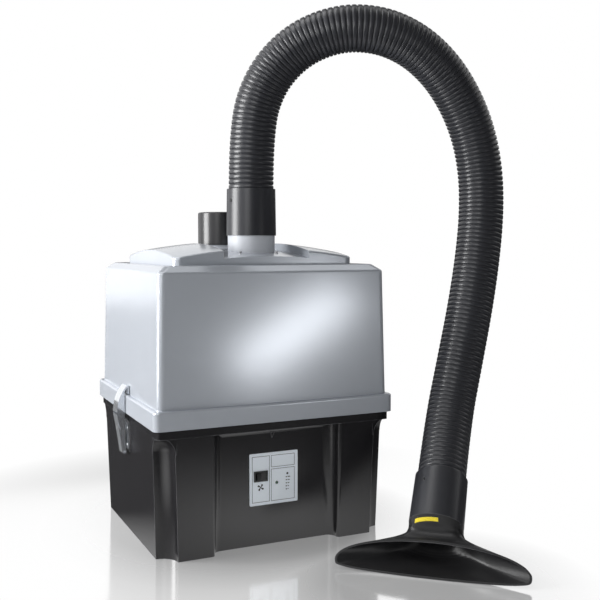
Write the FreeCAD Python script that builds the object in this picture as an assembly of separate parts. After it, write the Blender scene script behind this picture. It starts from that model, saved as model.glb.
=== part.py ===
import FreeCAD, Part
import math
import os

# Bench-top fume extractor: a black tub with the turbine, a grey hood over the filter, and one
# ribbed suction arm that stands on the hood and ends in a flat funnel nozzle.
# Millimetres. Origin at the middle of the tub's underside, +Z up, front towards -Y.

V = FreeCAD.Vector
os.makedirs("parts", exist_ok=True)
UP = V(0, 0, 1)
INWARD = V(0, 1, 0)

# Driving dimensions: hood
RIM_WIDTH = 360.0
RIM_DEPTH = 330.0
RIM_CORNER = 9.0
RIM_HEIGHT = 26.0
RIM_EDGE_ROUND = 3.0
LEDGE_WIDTH = 6.3
HOOD_WALL_RISE = 181.0
HOOD_DRAFT = 4.2
HOOD_WALL = 4.0
HOOD_EDGE_ROUND = 4.0
CHAMFER_RUN = 11.8
CHAMFER_RISE = 9.0
SKIRT_WALL = 4.5
SKIRT_CLEARANCE = 0.5
SKIRT_LAP = 1.0
GASKET_HEIGHT = 3.0
GASKET_INSET = 0.5

# Driving dimensions: pillow-shaped top of the hood and its channel
PILLOW_WIDTH = 274.0
PILLOW_DEPTH = 250.0
PILLOW_CENTRE_Y = 7.0
PILLOW_CROWN_RISE = 33.0
PILLOW_RADIUS = 750.0
PILLOW_CORNER = 12.0
PILLOW_EDGE_ROUND = 3.0
CHANNEL_WIDTH = 131.0
CHANNEL_DROP = 10.5

# Driving dimensions: spigots, cap and cuffs
SPIGOT_FRONT_Y = -57.0
SPIGOT_REAR_Y = 73.0
SPIGOT_R = 34.6
SPIGOT_WALL = 3.1
SPIGOT_STAND = 54.0
SPIGOT_FLANGE_R = 46.0
SPIGOT_FLANGE = 3.0
SPIGOT_BOSS_DEPTH = 13.0
RUNNING_GAP = 0.05
CAP_WALL = 1.9
CAP_TOP = 3.0
CAP_HEIGHT = 52.0
CAP_EDGE_ROUND = 2.5
CUFF_LENGTH = 68.0
CUFF_FIT_LENGTH = 35.0
CUFF_R_FIT_END = 36.6
CUFF_R_HOSE_END = 35.7
CUFF_STOP = 3.0
CUFF_STOP_R = 31.0
SLEEVE_LENGTH = 22.0
SLEEVE_R = 33.4
CLICK_R = 2.4
CLICK_PROUD = 1.0
CLICK_TRAVEL = 2.0
CLICK_FROM_STOP = 13.0
CLICK_DEPTH = 0.8
UPPER_CLICK_TURN_DEG = 14.0
LOWER_CLICK_TURN_DEG = 57.5

# Driving dimensions: ribbed hose
HOSE_R = 33.0
HOSE_GROOVE_R = 31.3
HOSE_BORE_R = 29.8
RIB_PITCH = 7.0
RIB_CREST = 4.4
RIB_RAMP = 0.6

# Hose route between the two cuffs, chosen by hand; both straight ends follow the fittings.
HOSE_START_RUN = 96.0
HOSE_END_RUN = 100.0
ARC_SHARE = 0.45
HOSE_BENDS = [
    V(17, -67, 661), V(52, -97, 709), V(100, -132, 732), V(152, -157, 732), V(204, -168, 715),
    V(250, -172, 683), V(286, -173, 640), V(311, -174, 590), V(323.5, -176, 533), V(323, -180, 472),
    V(312, -187, 408), V(292, -198, 335), V(263, -212, 250),
]

# Driving dimensions: funnel nozzle. Its own plane runs through the neck; the lip lies on the bench.
NOZZLE_LIP_CENTRE = V(123.5, -349.5, 0)
NOZZLE_FACING_DEG = 227.8
NOZZLE_NECK_DROP_DEG = 48.0
NOZZLE_NECK_BACK = 56.5
NOZZLE_NECK_HEIGHT = 52.9
NOZZLE_LIFT = 1.0
NOZZLE_WIDTH = 252.0
NOZZLE_MOUTH_HEIGHT = 49.0
NOZZLE_MOUTH_LEAN_DEG = 34.0
NOZZLE_WALL = 3.0
NOZZLE_NECK_R = 36.2
NOZZLE_STEPS = 4
NOZZLE_THROAT_BOW = 8.0
MOUTH_LOW_SHIFT = 0.22
MOUTH_FLAT = 0.55
STRIP_START_DEG = 81.0
STRIP_END_DEG = 132.0
STRIP_SEAT = 0.05
STRIP_THICK = 0.8

# Driving dimensions: base tub
BASE_HEIGHT = 181.0
BAND_HEIGHT = 13.0
BAND_CORNER = 6.0
BAND_STEP = 0.1
BASE_DRAFT = 4.5
BASE_WALL = 4.0
BASE_FLOOR = 4.0
FLUTE_R = 24.0
FLUTE_DOME_DROP = 21.0
RECESS_HALF = 93.0
RECESS_DEPTH = 17.4
RECESS_LIP_R = 5.0
RECESS_TOP_R = 9.0
BOSS_R = 6.0
BOSS_HEIGHT = 38.0

# Driving dimensions: screws, one size for all casing screws
SCREW_R = 2.0
SCREW_HEAD_R = 3.8
SCREW_HEAD = 2.4
SCREW_GAP = 0.05
SCREW_LENGTH = 12.0

# Driving dimensions: control plate and switch
PLATE_SIZE = 74.0
PLATE_THICK = 1.5
PLATE_CENTRE_Z = 94.5
SWITCH_X = -20.3
SWITCH_Z = 99.0
SWITCH_WIDTH = 21.0
SWITCH_HEIGHT = 15.0
SWITCH_BEZEL = 1.6
SWITCH_LIP = 0.9
SWITCH_WALL = 1.2
SWITCH_DEPTH = 20.0
SWITCH_POCKET = 11.0
ROCKER_GAP = 0.35
ROCKER_PROUD = 1.4
ROCKER_THICK = 4.2
ROCKER_DISH = 1.1
ROCKER_REST_DEG = 7.0
ROCKER_PIN_R = 1.0
ROCKER_PIN_SEAT = 0.8
LAMP_X = 4.3
LAMP_Z = 87.5
LAMP_R = 2.3
LAMP_PROUD = 0.8
LAMP_FLANGE = 1.0

# Driving dimensions: control board
BOARD_X = 34.0
BOARD_WIDTH = 60.0
BOARD_HEIGHT = 60.0
BOARD_THICK = 1.6
BOARD_STANDOFF = 12.0
BOARD_BOSS_R = 4.5
BOARD_PART_HEIGHT = 13.0

# Driving dimensions: turbine
POST_R = 10.0
POST_HEIGHT = 72.0
MOUNT_R = 9.0
MOUNT_HEIGHT = 16.0
MOUNT_SPACING = 176.0
CARRIER_SIZE = 206.0
CARRIER_THICK = 3.0
VOLUTE_R = 105.0
VOLUTE_WALL = 3.0
VOLUTE_HEIGHT = 57.0
VOLUTE_LID = 3.0
DUCT_X0 = 36.0
DUCT_END_GAP = 0.5
INLET_R = 48.0
INLET_SEAL_WALL = 12.0
IMPELLER_R = 92.0
IMPELLER_LIFT = 6.0
IMPELLER_HEIGHT = 44.0
IMPELLER_PLATE = 3.0
IMPELLER_BLADES = 9
IMPELLER_BLADE = 2.5
BLADE_CURL_SHARE = 0.55
BLADE_SWEEP_SHARE = 0.42
HUB_R = 15.0
HUB_HEIGHT = 20.0
SHAFT_R = 5.0
SHAFT_END = 8.0
MOTOR_R = 48.0
MOTOR_HEIGHT = 56.0
MOTOR_FLANGE_R = 60.0
MOTOR_FLANGE = 4.0
MOTOR_NOSE_R = 18.0
MOTOR_FIN_COUNT = 18
MOTOR_FIN_DEPTH = 3.0

# Driving dimensions: deck and filter cassette
DECK_THICK = 3.0
DECK_CLEARANCE = 0.3
FILTER_WIDTH = 300.0
FILTER_DEPTH = 270.0
FILTER_SHEET = 3.0
FILTER_LIP = 14.0
FILTER_SEAL = 4.0
CARBON_HEIGHT = 72.0
PLEAT_HEIGHT = 80.0
PLEAT_COUNT = 18
PLEAT_THICK = 20.0
PREFILTER_HEIGHT = 20.0

# Driving dimensions: mains inlet and exhaust on the back
PAD_PROUD = 0.3
INLET_X = -95.0
INLET_Z = 60.0
INLET_BODY_WIDTH = 28.0
INLET_BODY_HEIGHT = 21.0
INLET_BODY_DEPTH = 24.0
INLET_FLANGE_WIDTH = 52.0
INLET_FLANGE_HEIGHT = 25.0
INLET_FLANGE = 3.0
INLET_SHELL = 1.8
INLET_SOCKET = 17.0
INLET_CHAMFER = 5.0
PIN_WIDTH = 2.0
PIN_HEIGHT = 4.5
PIN_SPACING = 7.0
PIN_REACH = 13.0
GRILLE_WIDTH = 88.0
GRILLE_HEIGHT = 74.0
GRILLE_THICK = 3.0
GRILLE_MARGIN = 10.0
GRILLE_SLOTS = 7
GRILLE_SLOT_SHARE = 0.55

# Driving dimensions: over-centre latches on the left and right sides
LATCH_Y = 0.0
LATCH_PIVOT_OUT = 6.0
LATCH_PIVOT_DROP = 7.0
LATCH_PIN_R = 2.0
LATCH_THROW = 15.0
LATCH_OVER_CENTRE_DEG = 7.0
LATCH_SHEET = 2.0
BRACKET_HALF = 14.0
BRACKET_HEIGHT = 39.0
EAR_INNER = 5.0
EAR_R = 3.8
LEVER_INNER = 8.0
LEVER_SHEET = 1.5
LEVER_WEB_OUT = 4.9
LEVER_TOP = 4.5
LEVER_LENGTH = 51.0
LEVER_LEAN = 8.0
LEVER_DEPTH = 5.0
LEVER_CURL_R = 3.2
LEVER_CURL_WALL = 1.4
HOOK_INNER = 10.6
HOOK_RIM_GAP = 1.0
HOOK_TOP_RISE = 13.0
HOOK_BOW = 11.0
HOOK_BAND_DROP = 25.0
HOOK_LEDGE_GAP = 0.6
HOOK_WALL_GAP = 0.9
HOOK_EYE_R = 3.6
RIVET_R = 1.6
RIVET_HEAD_R = 2.8
RIVET_HEAD = 1.1

# Levels and half sizes that follow from the driving dimensions
RIM_X = RIM_WIDTH / 2
RIM_Y = RIM_DEPTH / 2
BAND_X = RIM_X - SKIRT_WALL - SKIRT_CLEARANCE
BAND_Y = RIM_Y - SKIRT_WALL - SKIRT_CLEARANCE
WALL_TOP_Z = BASE_HEIGHT - BAND_HEIGHT
WALL_TOP_X = BAND_X - BAND_STEP
WALL_TOP_Y = BAND_Y - BAND_STEP
RECESS_Y = WALL_TOP_Y - BASE_DRAFT - RECESS_DEPTH
DECK_TOP_Z = WALL_TOP_Z + DECK_THICK
RIM_BOTTOM_Z = BASE_HEIGHT - SKIRT_LAP
LEDGE_Z = RIM_BOTTOM_Z + RIM_HEIGHT
HOOD_WALL_TOP_Z = LEDGE_Z + HOOD_WALL_RISE
PLATEAU_Z = HOOD_WALL_TOP_Z + CHAMFER_RISE
CROWN_Z = PLATEAU_Z + PILLOW_CROWN_RISE
PILLOW_CENTRE = V(0, PILLOW_CENTRE_Y, CROWN_Z - PILLOW_RADIUS)
GASKET_TOP_Z = BASE_HEIGHT + GASKET_HEIGHT


def solid_box(x0, x1, y0, y1, z0, z1):
    return Part.makeBox(x1 - x0, y1 - y0, z1 - z0, V(x0, y0, z0))


def wall_box(x, half_x, y0, y1, z, half_z):
    """Box centred on a point of an upright wall, between two depths."""
    return solid_box(x - half_x, x + half_x, y0, y1, z - half_z, z + half_z)


def ring(outer_r, inner_r, length, base, axis=UP):
    outer = Part.makeCylinder(outer_r, length, base, axis)
    return outer.cut(Part.makeCylinder(inner_r, length, base, axis))


def rounded_rectangle(half_x, half_y, corner, z):
    """Closed wire, counter-clockwise, with quarter-circle corners."""
    diagonal = corner * math.sqrt(0.5)
    edges = []
    spots = []
    for sx, sy in ((1, 1), (-1, 1), (-1, -1), (1, -1)):
        centre = V(sx * (half_x - corner), sy * (half_y - corner), z)
        along_x = centre + V(0, sy * corner, 0)
        along_y = centre + V(sx * corner, 0, 0)
        middle = centre + V(sx * diagonal, sy * diagonal, 0)
        spots.append((along_y, middle, along_x) if sx * sy > 0 else (along_x, middle, along_y))
    for index, (start, middle, end) in enumerate(spots):
        edges.append(Part.Arc(start, middle, end).toShape())
        following = spots[(index + 1) % len(spots)][0]
        edges.append(Part.LineSegment(end, following).toShape())
    return Part.Wire(edges)


def ruled(wires):
    return Part.makeLoft(wires, True, True)


def rounded_prism(half_x, half_y, corner, z0, z1):
    return Part.Face(rounded_rectangle(half_x, half_y, corner, z0)).extrude(V(0, 0, z1 - z0))


def polygon_prism(points, reach):
    closed = list(points) + [points[0]]
    return Part.Face(Part.makePolygon(closed)).extrude(reach)


def screw(head_base, axis, length=SCREW_LENGTH):
    """Pan-head screw: head_base is the seat of the head, axis points along the shank."""
    head = Part.makeCylinder(SCREW_HEAD_R, SCREW_HEAD, head_base, axis * -1)
    return head.fuse(Part.makeCylinder(SCREW_R, length, head_base, axis))


def screw_hole(head_base, axis, length=SCREW_LENGTH + 1):
    return Part.makeCylinder(SCREW_R + SCREW_GAP, length, head_base, axis)


def save(name, shape):
    shape.exportStep("parts/" + name + ".step")


def group(shapes):
    return Part.makeCompound(shapes)


# Base tub

def wall_half(z):
    """Half width and half depth of the tub's outer wall at a height: it leans in towards the floor."""
    lean = BASE_DRAFT * (1 - z / WALL_TOP_Z)
    return WALL_TOP_X - lean, WALL_TOP_Y - lean


def tub_outline(z, inset):
    """Plan of the tub wall: fluted corners and a recess in the front face with rolled sides."""
    half_x, half_y = wall_half(z)
    flat_x = half_x - inset
    flat_y = half_y - inset
    flute = FLUTE_R + inset
    reach = math.sqrt(flute ** 2 - inset ** 2)
    flute_mid = flute * math.sqrt(0.5)
    hollow = half_y - RECESS_Y - RECESS_LIP_R
    lip_r = RECESS_LIP_R - inset
    hollow_r = hollow + inset
    waist_y = -half_y + RECESS_LIP_R
    corner = math.sqrt(0.5)

    def corner_arc(sx, sy, from_side):
        on_side = V(sx * flat_x, sy * (half_y - reach), z)
        on_front = V(sx * (half_x - reach), sy * flat_y, z)
        middle = V(sx * (half_x - flute_mid), sy * (half_y - flute_mid), z)
        ends = (on_side, on_front) if from_side else (on_front, on_side)
        return Part.Arc(ends[0], middle, ends[1]).toShape()

    def recess_arcs(side):
        lip_x = RECESS_HALF + RECESS_LIP_R
        hollow_x = RECESS_HALF - hollow
        face_end = V(side * lip_x, -flat_y, z)
        waist = V(side * (RECESS_HALF + inset), waist_y, z)
        panel_end = V(side * hollow_x, -RECESS_Y + inset, z)
        lip_mid = V(side * (lip_x - lip_r * corner), waist_y - lip_r * corner, z)
        hollow_mid = V(side * (hollow_x + hollow_r * corner), waist_y + hollow_r * corner, z)
        return face_end, lip_mid, waist, hollow_mid, panel_end

    left = recess_arcs(-1)
    right = recess_arcs(1)
    side_y = half_y - reach
    front_x = half_x - reach
    edges = [
        Part.LineSegment(V(flat_x, -side_y, z), V(flat_x, side_y, z)).toShape(),
        corner_arc(1, 1, True),
        Part.LineSegment(V(front_x, flat_y, z), V(-front_x, flat_y, z)).toShape(),
        corner_arc(-1, 1, False),
        Part.LineSegment(V(-flat_x, side_y, z), V(-flat_x, -side_y, z)).toShape(),
        corner_arc(-1, -1, True),
        Part.LineSegment(V(-front_x, -flat_y, z), left[0]).toShape(),
        Part.Arc(left[0], left[1], left[2]).toShape(),
        Part.Arc(left[2], left[3], left[4]).toShape(),
        Part.LineSegment(left[4], right[4]).toShape(),
        Part.Arc(right[4], right[3], right[2]).toShape(),
        Part.Arc(right[2], right[1], right[0]).toShape(),
        Part.LineSegment(right[0], V(front_x, -flat_y, z)).toShape(),
        corner_arc(1, -1, False),
    ]
    return Part.Wire(edges)


panel_inner_y = -RECESS_Y + BASE_WALL
boss_offset = (FLUTE_R + BASE_WALL + BOSS_R * 0.5) * math.sqrt(0.5)
boss_spots = [
    V(sx * (WALL_TOP_X - boss_offset), sy * (WALL_TOP_Y - boss_offset), WALL_TOP_Z)
    for sx in (-1, 1) for sy in (-1, 1)
]
mount_spots = [
    V(sx * MOUNT_SPACING / 2, sy * MOUNT_SPACING / 2, 0) for sx in (-1, 1) for sy in (-1, 1)
]
board_z = PLATE_CENTRE_Z
board_reach_x = BOARD_WIDTH / 2 - BOARD_BOSS_R
board_reach_z = BOARD_HEIGHT / 2 - BOARD_BOSS_R
board_spots = [
    V(BOARD_X + sx * board_reach_x, panel_inner_y, board_z + sz * board_reach_z)
    for sx in (-1, 1) for sz in (-1, 1)
]
board_front_y = panel_inner_y + BOARD_STANDOFF
board_back_y = board_front_y + BOARD_THICK

# Turbine levels
carrier_z = BASE_FLOOR + POST_HEIGHT + MOUNT_HEIGHT
volute_z = carrier_z + CARRIER_THICK
volute_top_z = volute_z + VOLUTE_HEIGHT
lid_top_z = volute_top_z + VOLUTE_LID
duct_x1 = VOLUTE_R
duct_mid_x = (DUCT_X0 + duct_x1) / 2
duct_mid_z = volute_z + VOLUTE_HEIGHT / 2
duct_end_y = wall_half(volute_z)[1] - BASE_WALL - DUCT_END_GAP

# Pads with upright faces carry the latch brackets and the fittings on the leaning walls.
latch_pad_top_z = WALL_TOP_Z - LATCH_SHEET
latch_pad_x = WALL_TOP_X + PAD_PROUD / 2
latch_pad_bottom_z = latch_pad_top_z - BRACKET_HEIGHT - 2 * LATCH_SHEET
grille_pad_y = WALL_TOP_Y + PAD_PROUD / 2
inlet_pad_y = wall_half(INLET_Z + INLET_FLANGE_HEIGHT / 2)[1] + PAD_PROUD


def flute_domes():
    """Rounded upper ends of the four corner flutes, up against the band."""
    low_z = WALL_TOP_Z - FLUTE_DOME_DROP
    block = rounded_prism(WALL_TOP_X - BAND_STEP, WALL_TOP_Y - BAND_STEP, BAND_CORNER, low_z, WALL_TOP_Z)
    half_x, half_y = wall_half(low_z)
    domes = []
    for sx in (-1, 1):
        for sy in (-1, 1):
            corner = V(sx * half_x, sy * half_y, low_z)
            plug = Part.makeCylinder(FLUTE_R + BASE_WALL / 2, FLUTE_DOME_DROP, corner).common(block)
            domes.append(plug.cut(Part.makeSphere(FLUTE_R, corner)))
    return domes


def recess_cove():
    """Hollow between the recess's back and the band above it."""
    low_z = WALL_TOP_Z - RECESS_TOP_R
    front_y = -RECESS_Y - RECESS_TOP_R
    bar = solid_box(-RECESS_HALF, RECESS_HALF, front_y, -RECESS_Y + BASE_WALL / 2, low_z, WALL_TOP_Z)
    hollow = Part.makeCylinder(RECESS_TOP_R, 2 * RECESS_HALF, V(-RECESS_HALF, front_y, low_z), V(1, 0, 0))
    under = solid_box(-RECESS_HALF, RECESS_HALF, front_y, -RECESS_Y, low_z - RECESS_TOP_R, low_z)
    return bar.cut([hollow, under])


def make_base_shell():
    outer = ruled([tub_outline(0, 0), tub_outline(WALL_TOP_Z, 0)])
    outer = outer.fuse(rounded_prism(BAND_X, BAND_Y, BAND_CORNER, WALL_TOP_Z, BASE_HEIGHT))
    outer = outer.fuse(flute_domes() + [recess_cove()])
    inner = ruled([tub_outline(BASE_FLOOR, BASE_WALL), tub_outline(WALL_TOP_Z, BASE_WALL)])
    band_corner = BAND_CORNER - BASE_WALL / 2
    inner = inner.fuse(rounded_prism(
        BAND_X - BASE_WALL, BAND_Y - BASE_WALL, band_corner, WALL_TOP_Z, BASE_HEIGHT + BASE_WALL
    ))
    posts = []
    for spot in boss_spots:
        posts.append(Part.makeCylinder(BOSS_R, BOSS_HEIGHT, spot, UP * -1))
    for spot in mount_spots:
        foot = spot + UP * (BASE_FLOOR / 2)
        posts.append(Part.makeCylinder(POST_R, POST_HEIGHT + BASE_FLOOR / 2, foot))
    for spot in board_spots:
        seat = spot - INWARD * (BASE_WALL / 2)
        posts.append(Part.makeCylinder(BOARD_BOSS_R, BOARD_STANDOFF + BASE_WALL / 2, seat, INWARD))
    half_x, half_y = wall_half(0)
    mid_wall_y = half_y - BASE_WALL / 2
    pad_half = BRACKET_HALF + LATCH_SHEET
    pads = []
    for side in (-1, 1):
        x0, x1 = sorted((side * (half_x - BASE_WALL / 2), side * latch_pad_x))
        pads.append(solid_box(
            x0, x1, LATCH_Y - pad_half, LATCH_Y + pad_half, latch_pad_bottom_z, latch_pad_top_z
        ))
    pads.append(wall_box(
        duct_mid_x, GRILLE_WIDTH / 2, mid_wall_y, grille_pad_y, duct_mid_z, GRILLE_HEIGHT / 2
    ))
    pads.append(wall_box(
        INLET_X, INLET_FLANGE_WIDTH / 2, mid_wall_y, inlet_pad_y, INLET_Z, INLET_FLANGE_HEIGHT / 2
    ))
    room = ruled([tub_outline(BASE_FLOOR, BASE_WALL), tub_outline(WALL_TOP_Z, BASE_WALL)])
    walls = outer.fuse(pads).cut(inner)
    shell = walls.fuse([post.common(room.fuse(walls)) for post in posts])
    through = BASE_WALL * 4
    body_x = SWITCH_WIDTH / 2 - SWITCH_LIP + RUNNING_GAP
    body_z = SWITCH_HEIGHT / 2 - SWITCH_LIP + RUNNING_GAP
    cutters = [screw_hole(spot, UP * -1) for spot in boss_spots]
    for spot in board_spots:
        cutters.append(screw_hole(spot + INWARD * BOARD_STANDOFF, INWARD * -1, BOARD_STANDOFF))
    cutters.append(wall_box(SWITCH_X, body_x, -RECESS_Y - through, -RECESS_Y + through, SWITCH_Z, body_z))
    lamp_start = V(LAMP_X, -RECESS_Y - through / 2, LAMP_Z)
    cutters.append(Part.makeCylinder(LAMP_R + RUNNING_GAP, through, lamp_start, INWARD))
    open_x = GRILLE_WIDTH / 2 - GRILLE_MARGIN
    open_z = GRILLE_HEIGHT / 2 - GRILLE_MARGIN
    cutters.append(wall_box(duct_mid_x, open_x, half_y - through, half_y + through, duct_mid_z, open_z))
    inlet_x = INLET_BODY_WIDTH / 2 + RUNNING_GAP
    inlet_z = INLET_BODY_HEIGHT / 2 + RUNNING_GAP
    cutters.append(wall_box(INLET_X, inlet_x, half_y - through, half_y + through, INLET_Z, inlet_z))
    cutters += [screw_hole(spot, INWARD * -1) for spot in grille_screw_spots + inlet_screw_spots]
    for side in (-1, 1):
        for y, z in rivet_spots:
            start = V(side * (half_x - through / 2), y, z)
            cutters.append(Part.makeCylinder(RIVET_R + RUNNING_GAP, through, start, V(side, 0, 0)))
    return shell.cut(cutters).removeSplitter()


# Control plate, switch, lamp and board

def make_control_plate():
    half = PLATE_SIZE / 2
    plate = wall_box(0, half, -RECESS_Y - PLATE_THICK, -RECESS_Y, PLATE_CENTRE_Z, half)
    body_x = SWITCH_WIDTH / 2 - SWITCH_LIP + RUNNING_GAP
    body_z = SWITCH_HEIGHT / 2 - SWITCH_LIP + RUNNING_GAP
    ahead_y = -RECESS_Y - 2 * PLATE_THICK
    opening = wall_box(SWITCH_X, body_x, ahead_y, -RECESS_Y + PLATE_THICK, SWITCH_Z, body_z)
    lamp_start = V(LAMP_X, ahead_y, LAMP_Z)
    lamp_hole = Part.makeCylinder(LAMP_R + RUNNING_GAP, 3 * PLATE_THICK, lamp_start, INWARD)
    corners = [edge for edge in plate.Edges if abs(edge.tangentAt(edge.FirstParameter).y) > 0.9]
    return plate.makeFillet(PLATE_THICK, corners).cut([opening, lamp_hole])


switch_face_y = -RECESS_Y - PLATE_THICK
rocker_pivot_y = switch_face_y - SWITCH_BEZEL - ROCKER_PROUD + ROCKER_THICK


def make_switch_frame():
    half_x = SWITCH_WIDTH / 2
    half_z = SWITCH_HEIGHT / 2
    bezel_y = switch_face_y - SWITCH_BEZEL
    bezel = wall_box(SWITCH_X, half_x, bezel_y, switch_face_y, SWITCH_Z, half_z)
    body_x = half_x - SWITCH_LIP
    body_z = half_z - SWITCH_LIP
    body = wall_box(SWITCH_X, body_x, switch_face_y, switch_face_y + SWITCH_DEPTH, SWITCH_Z, body_z)
    pocket_x = body_x - SWITCH_WALL
    pocket_z = body_z - SWITCH_WALL
    pocket_y = switch_face_y + SWITCH_POCKET
    pocket = wall_box(SWITCH_X, pocket_x, bezel_y - SWITCH_BEZEL, pocket_y, SWITCH_Z, pocket_z)
    seat_half = pocket_z + ROCKER_PIN_SEAT + RUNNING_GAP
    seats = Part.makeCylinder(
        ROCKER_PIN_R + RUNNING_GAP, 2 * seat_half, V(SWITCH_X, rocker_pivot_y, SWITCH_Z - seat_half), UP
    )
    return bezel.fuse(body).cut([pocket, seats]).removeSplitter()


def make_rocker():
    """Dished rocker on two stub pins, stored with one end pressed in."""
    pocket_x = SWITCH_WIDTH / 2 - SWITCH_LIP - SWITCH_WALL
    pocket_z = SWITCH_HEIGHT / 2 - SWITCH_LIP - SWITCH_WALL
    half_z = pocket_z - ROCKER_GAP
    half_x = math.sqrt(pocket_x ** 2 - ROCKER_THICK ** 2) - ROCKER_GAP
    front = rocker_pivot_y - ROCKER_THICK
    z = SWITCH_Z - half_z
    heel = rocker_pivot_y + ROCKER_PIN_R
    outline = [
        (-half_x, front), (0, front + ROCKER_DISH), (half_x, front), (half_x, rocker_pivot_y),
        (ROCKER_PIN_R, heel), (-ROCKER_PIN_R, heel), (-half_x, rocker_pivot_y),
    ]
    body = polygon_prism([V(SWITCH_X + x, y, z) for x, y in outline], V(0, 0, 2 * half_z))
    pin_half = pocket_z + ROCKER_PIN_SEAT
    pin_start = V(SWITCH_X, rocker_pivot_y, SWITCH_Z - pin_half)
    pin = Part.makeCylinder(ROCKER_PIN_R, 2 * pin_half, pin_start, UP)
    rocker = body.fuse(pin).removeSplitter()
    rocker.rotate(V(SWITCH_X, rocker_pivot_y, SWITCH_Z), UP, ROCKER_REST_DEG)
    return rocker


def make_lamp_lens():
    front = V(LAMP_X, switch_face_y - LAMP_PROUD, LAMP_Z)
    lens = Part.makeCylinder(LAMP_R, PLATE_THICK + BASE_WALL + LAMP_PROUD, front, INWARD)
    rim = [edge for edge in lens.Edges if edge.BoundBox.YMax < switch_face_y]
    lens = lens.makeFillet(LAMP_PROUD * 0.7, rim)
    flange = Part.makeCylinder(LAMP_R * 1.4, LAMP_FLANGE, V(LAMP_X, panel_inner_y, LAMP_Z), INWARD)
    return lens.fuse(flange).removeSplitter()


def make_board():
    board = wall_box(BOARD_X, BOARD_WIDTH / 2, board_front_y, board_back_y, board_z, BOARD_HEIGHT / 2)
    return board.cut([screw_hole(V(spot.x, board_back_y, spot.z), INWARD * -1) for spot in board_spots])


def make_board_components():
    """Transformer, relay and capacitor, placed by shares of a quarter of the board."""
    quarter_x = BOARD_WIDTH / 4
    quarter_z = BOARD_HEIGHT / 4
    top_y = board_back_y + BOARD_PART_HEIGHT
    relay_y = board_back_y + BOARD_PART_HEIGHT * 0.8
    transformer = solid_box(
        BOARD_X - quarter_x, BOARD_X + quarter_x * 0.6, board_back_y, top_y,
        board_z - quarter_z * 0.2, board_z + quarter_z * 1.2,
    )
    relay = solid_box(
        BOARD_X - quarter_x, BOARD_X + quarter_x * 0.2, board_back_y, relay_y,
        board_z - quarter_z * 1.3, board_z - quarter_z * 0.4,
    )
    stand = V(BOARD_X + quarter_x * 1.1, board_back_y, board_z - quarter_z * 0.3)
    capacitor = Part.makeCylinder(quarter_x * 0.4, BOARD_PART_HEIGHT * 0.9, stand, INWARD)
    return group([transformer, relay, capacitor])


def make_board_screws():
    seats = [V(spot.x, board_back_y, spot.z) for spot in board_spots]
    return group([screw(seat, INWARD * -1, BOARD_STANDOFF) for seat in seats])


# Turbine

def volute_plan(wall_inset, z0, z1):
    """Drum with a straight outlet duct towards the back, as a solid shrunk by wall_inset."""
    drum = Part.makeCylinder(VOLUTE_R - wall_inset, z1 - z0, V(0, 0, z0))
    end = duct_end_y + (VOLUTE_WALL if wall_inset else 0)
    return drum.fuse(solid_box(DUCT_X0 + wall_inset, duct_x1 - wall_inset, 0, end, z0, z1)).removeSplitter()


def make_volute_shell():
    outer = volute_plan(0, volute_z, volute_top_z)
    return outer.cut(volute_plan(VOLUTE_WALL, volute_z - 1, volute_top_z + 1))


def make_volute_lid():
    lid = volute_plan(0, volute_top_z, lid_top_z)
    return lid.cut(Part.makeCylinder(INLET_R, 4 * VOLUTE_LID, V(0, 0, volute_top_z - VOLUTE_LID)))


def make_carrier_plate():
    half = CARRIER_SIZE / 2
    plate = rounded_prism(half, half, MOUNT_R, carrier_z, volute_z)
    below = V(0, 0, carrier_z - CARRIER_THICK)
    nose = Part.makeCylinder(MOTOR_NOSE_R + RUNNING_GAP, 3 * CARRIER_THICK, below)
    return plate.cut([nose] + [screw_hole(spot, UP * -1) for spot in motor_screw_spots])


motor_screw_r = (MOTOR_R + MOTOR_FLANGE_R) / 2
motor_screw_spots = [
    V(sx * motor_screw_r * math.sqrt(0.5), sy * motor_screw_r * math.sqrt(0.5), volute_z)
    for sx in (-1, 1) for sy in (-1, 1)
]
motor_screw_length = CARRIER_THICK + MOTOR_FLANGE
shaft_bottom_z = carrier_z - MOTOR_HEIGHT * 0.85
impeller_z = volute_z + IMPELLER_LIFT
hub_top_z = impeller_z + HUB_HEIGHT
nut_height = SHAFT_R * 1.6


def make_motor():
    can = Part.makeCylinder(MOTOR_R, MOTOR_HEIGHT, V(0, 0, carrier_z - MOTOR_HEIGHT))
    fin_r = MOTOR_R - MOTOR_FIN_DEPTH / 2
    fin_width = math.pi * MOTOR_R / MOTOR_FIN_COUNT
    gap = solid_box(
        fin_r, MOTOR_R + MOTOR_FIN_DEPTH, -fin_width / 2, fin_width / 2,
        carrier_z - MOTOR_HEIGHT * 0.85, carrier_z - MOTOR_FLANGE * 2,
    )
    gaps = []
    for index in range(MOTOR_FIN_COUNT):
        groove = gap.copy()
        groove.rotate(V(0, 0, 0), UP, 360.0 * index / MOTOR_FIN_COUNT)
        gaps.append(groove)
    flange = Part.makeCylinder(MOTOR_FLANGE_R, MOTOR_FLANGE, V(0, 0, carrier_z - MOTOR_FLANGE))
    nose = Part.makeCylinder(MOTOR_NOSE_R, CARRIER_THICK, V(0, 0, carrier_z))
    bore = Part.makeCylinder(SHAFT_R + RUNNING_GAP, MOTOR_HEIGHT * 2, V(0, 0, shaft_bottom_z - 1))
    holes = [screw_hole(spot, UP * -1) for spot in motor_screw_spots]
    return can.cut(gaps).fuse([flange, nose]).cut([bore] + holes).removeSplitter()


def make_shaft():
    length = hub_top_z + nut_height + SHAFT_END - shaft_bottom_z
    return Part.makeCylinder(SHAFT_R, length, V(0, 0, shaft_bottom_z))


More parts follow.
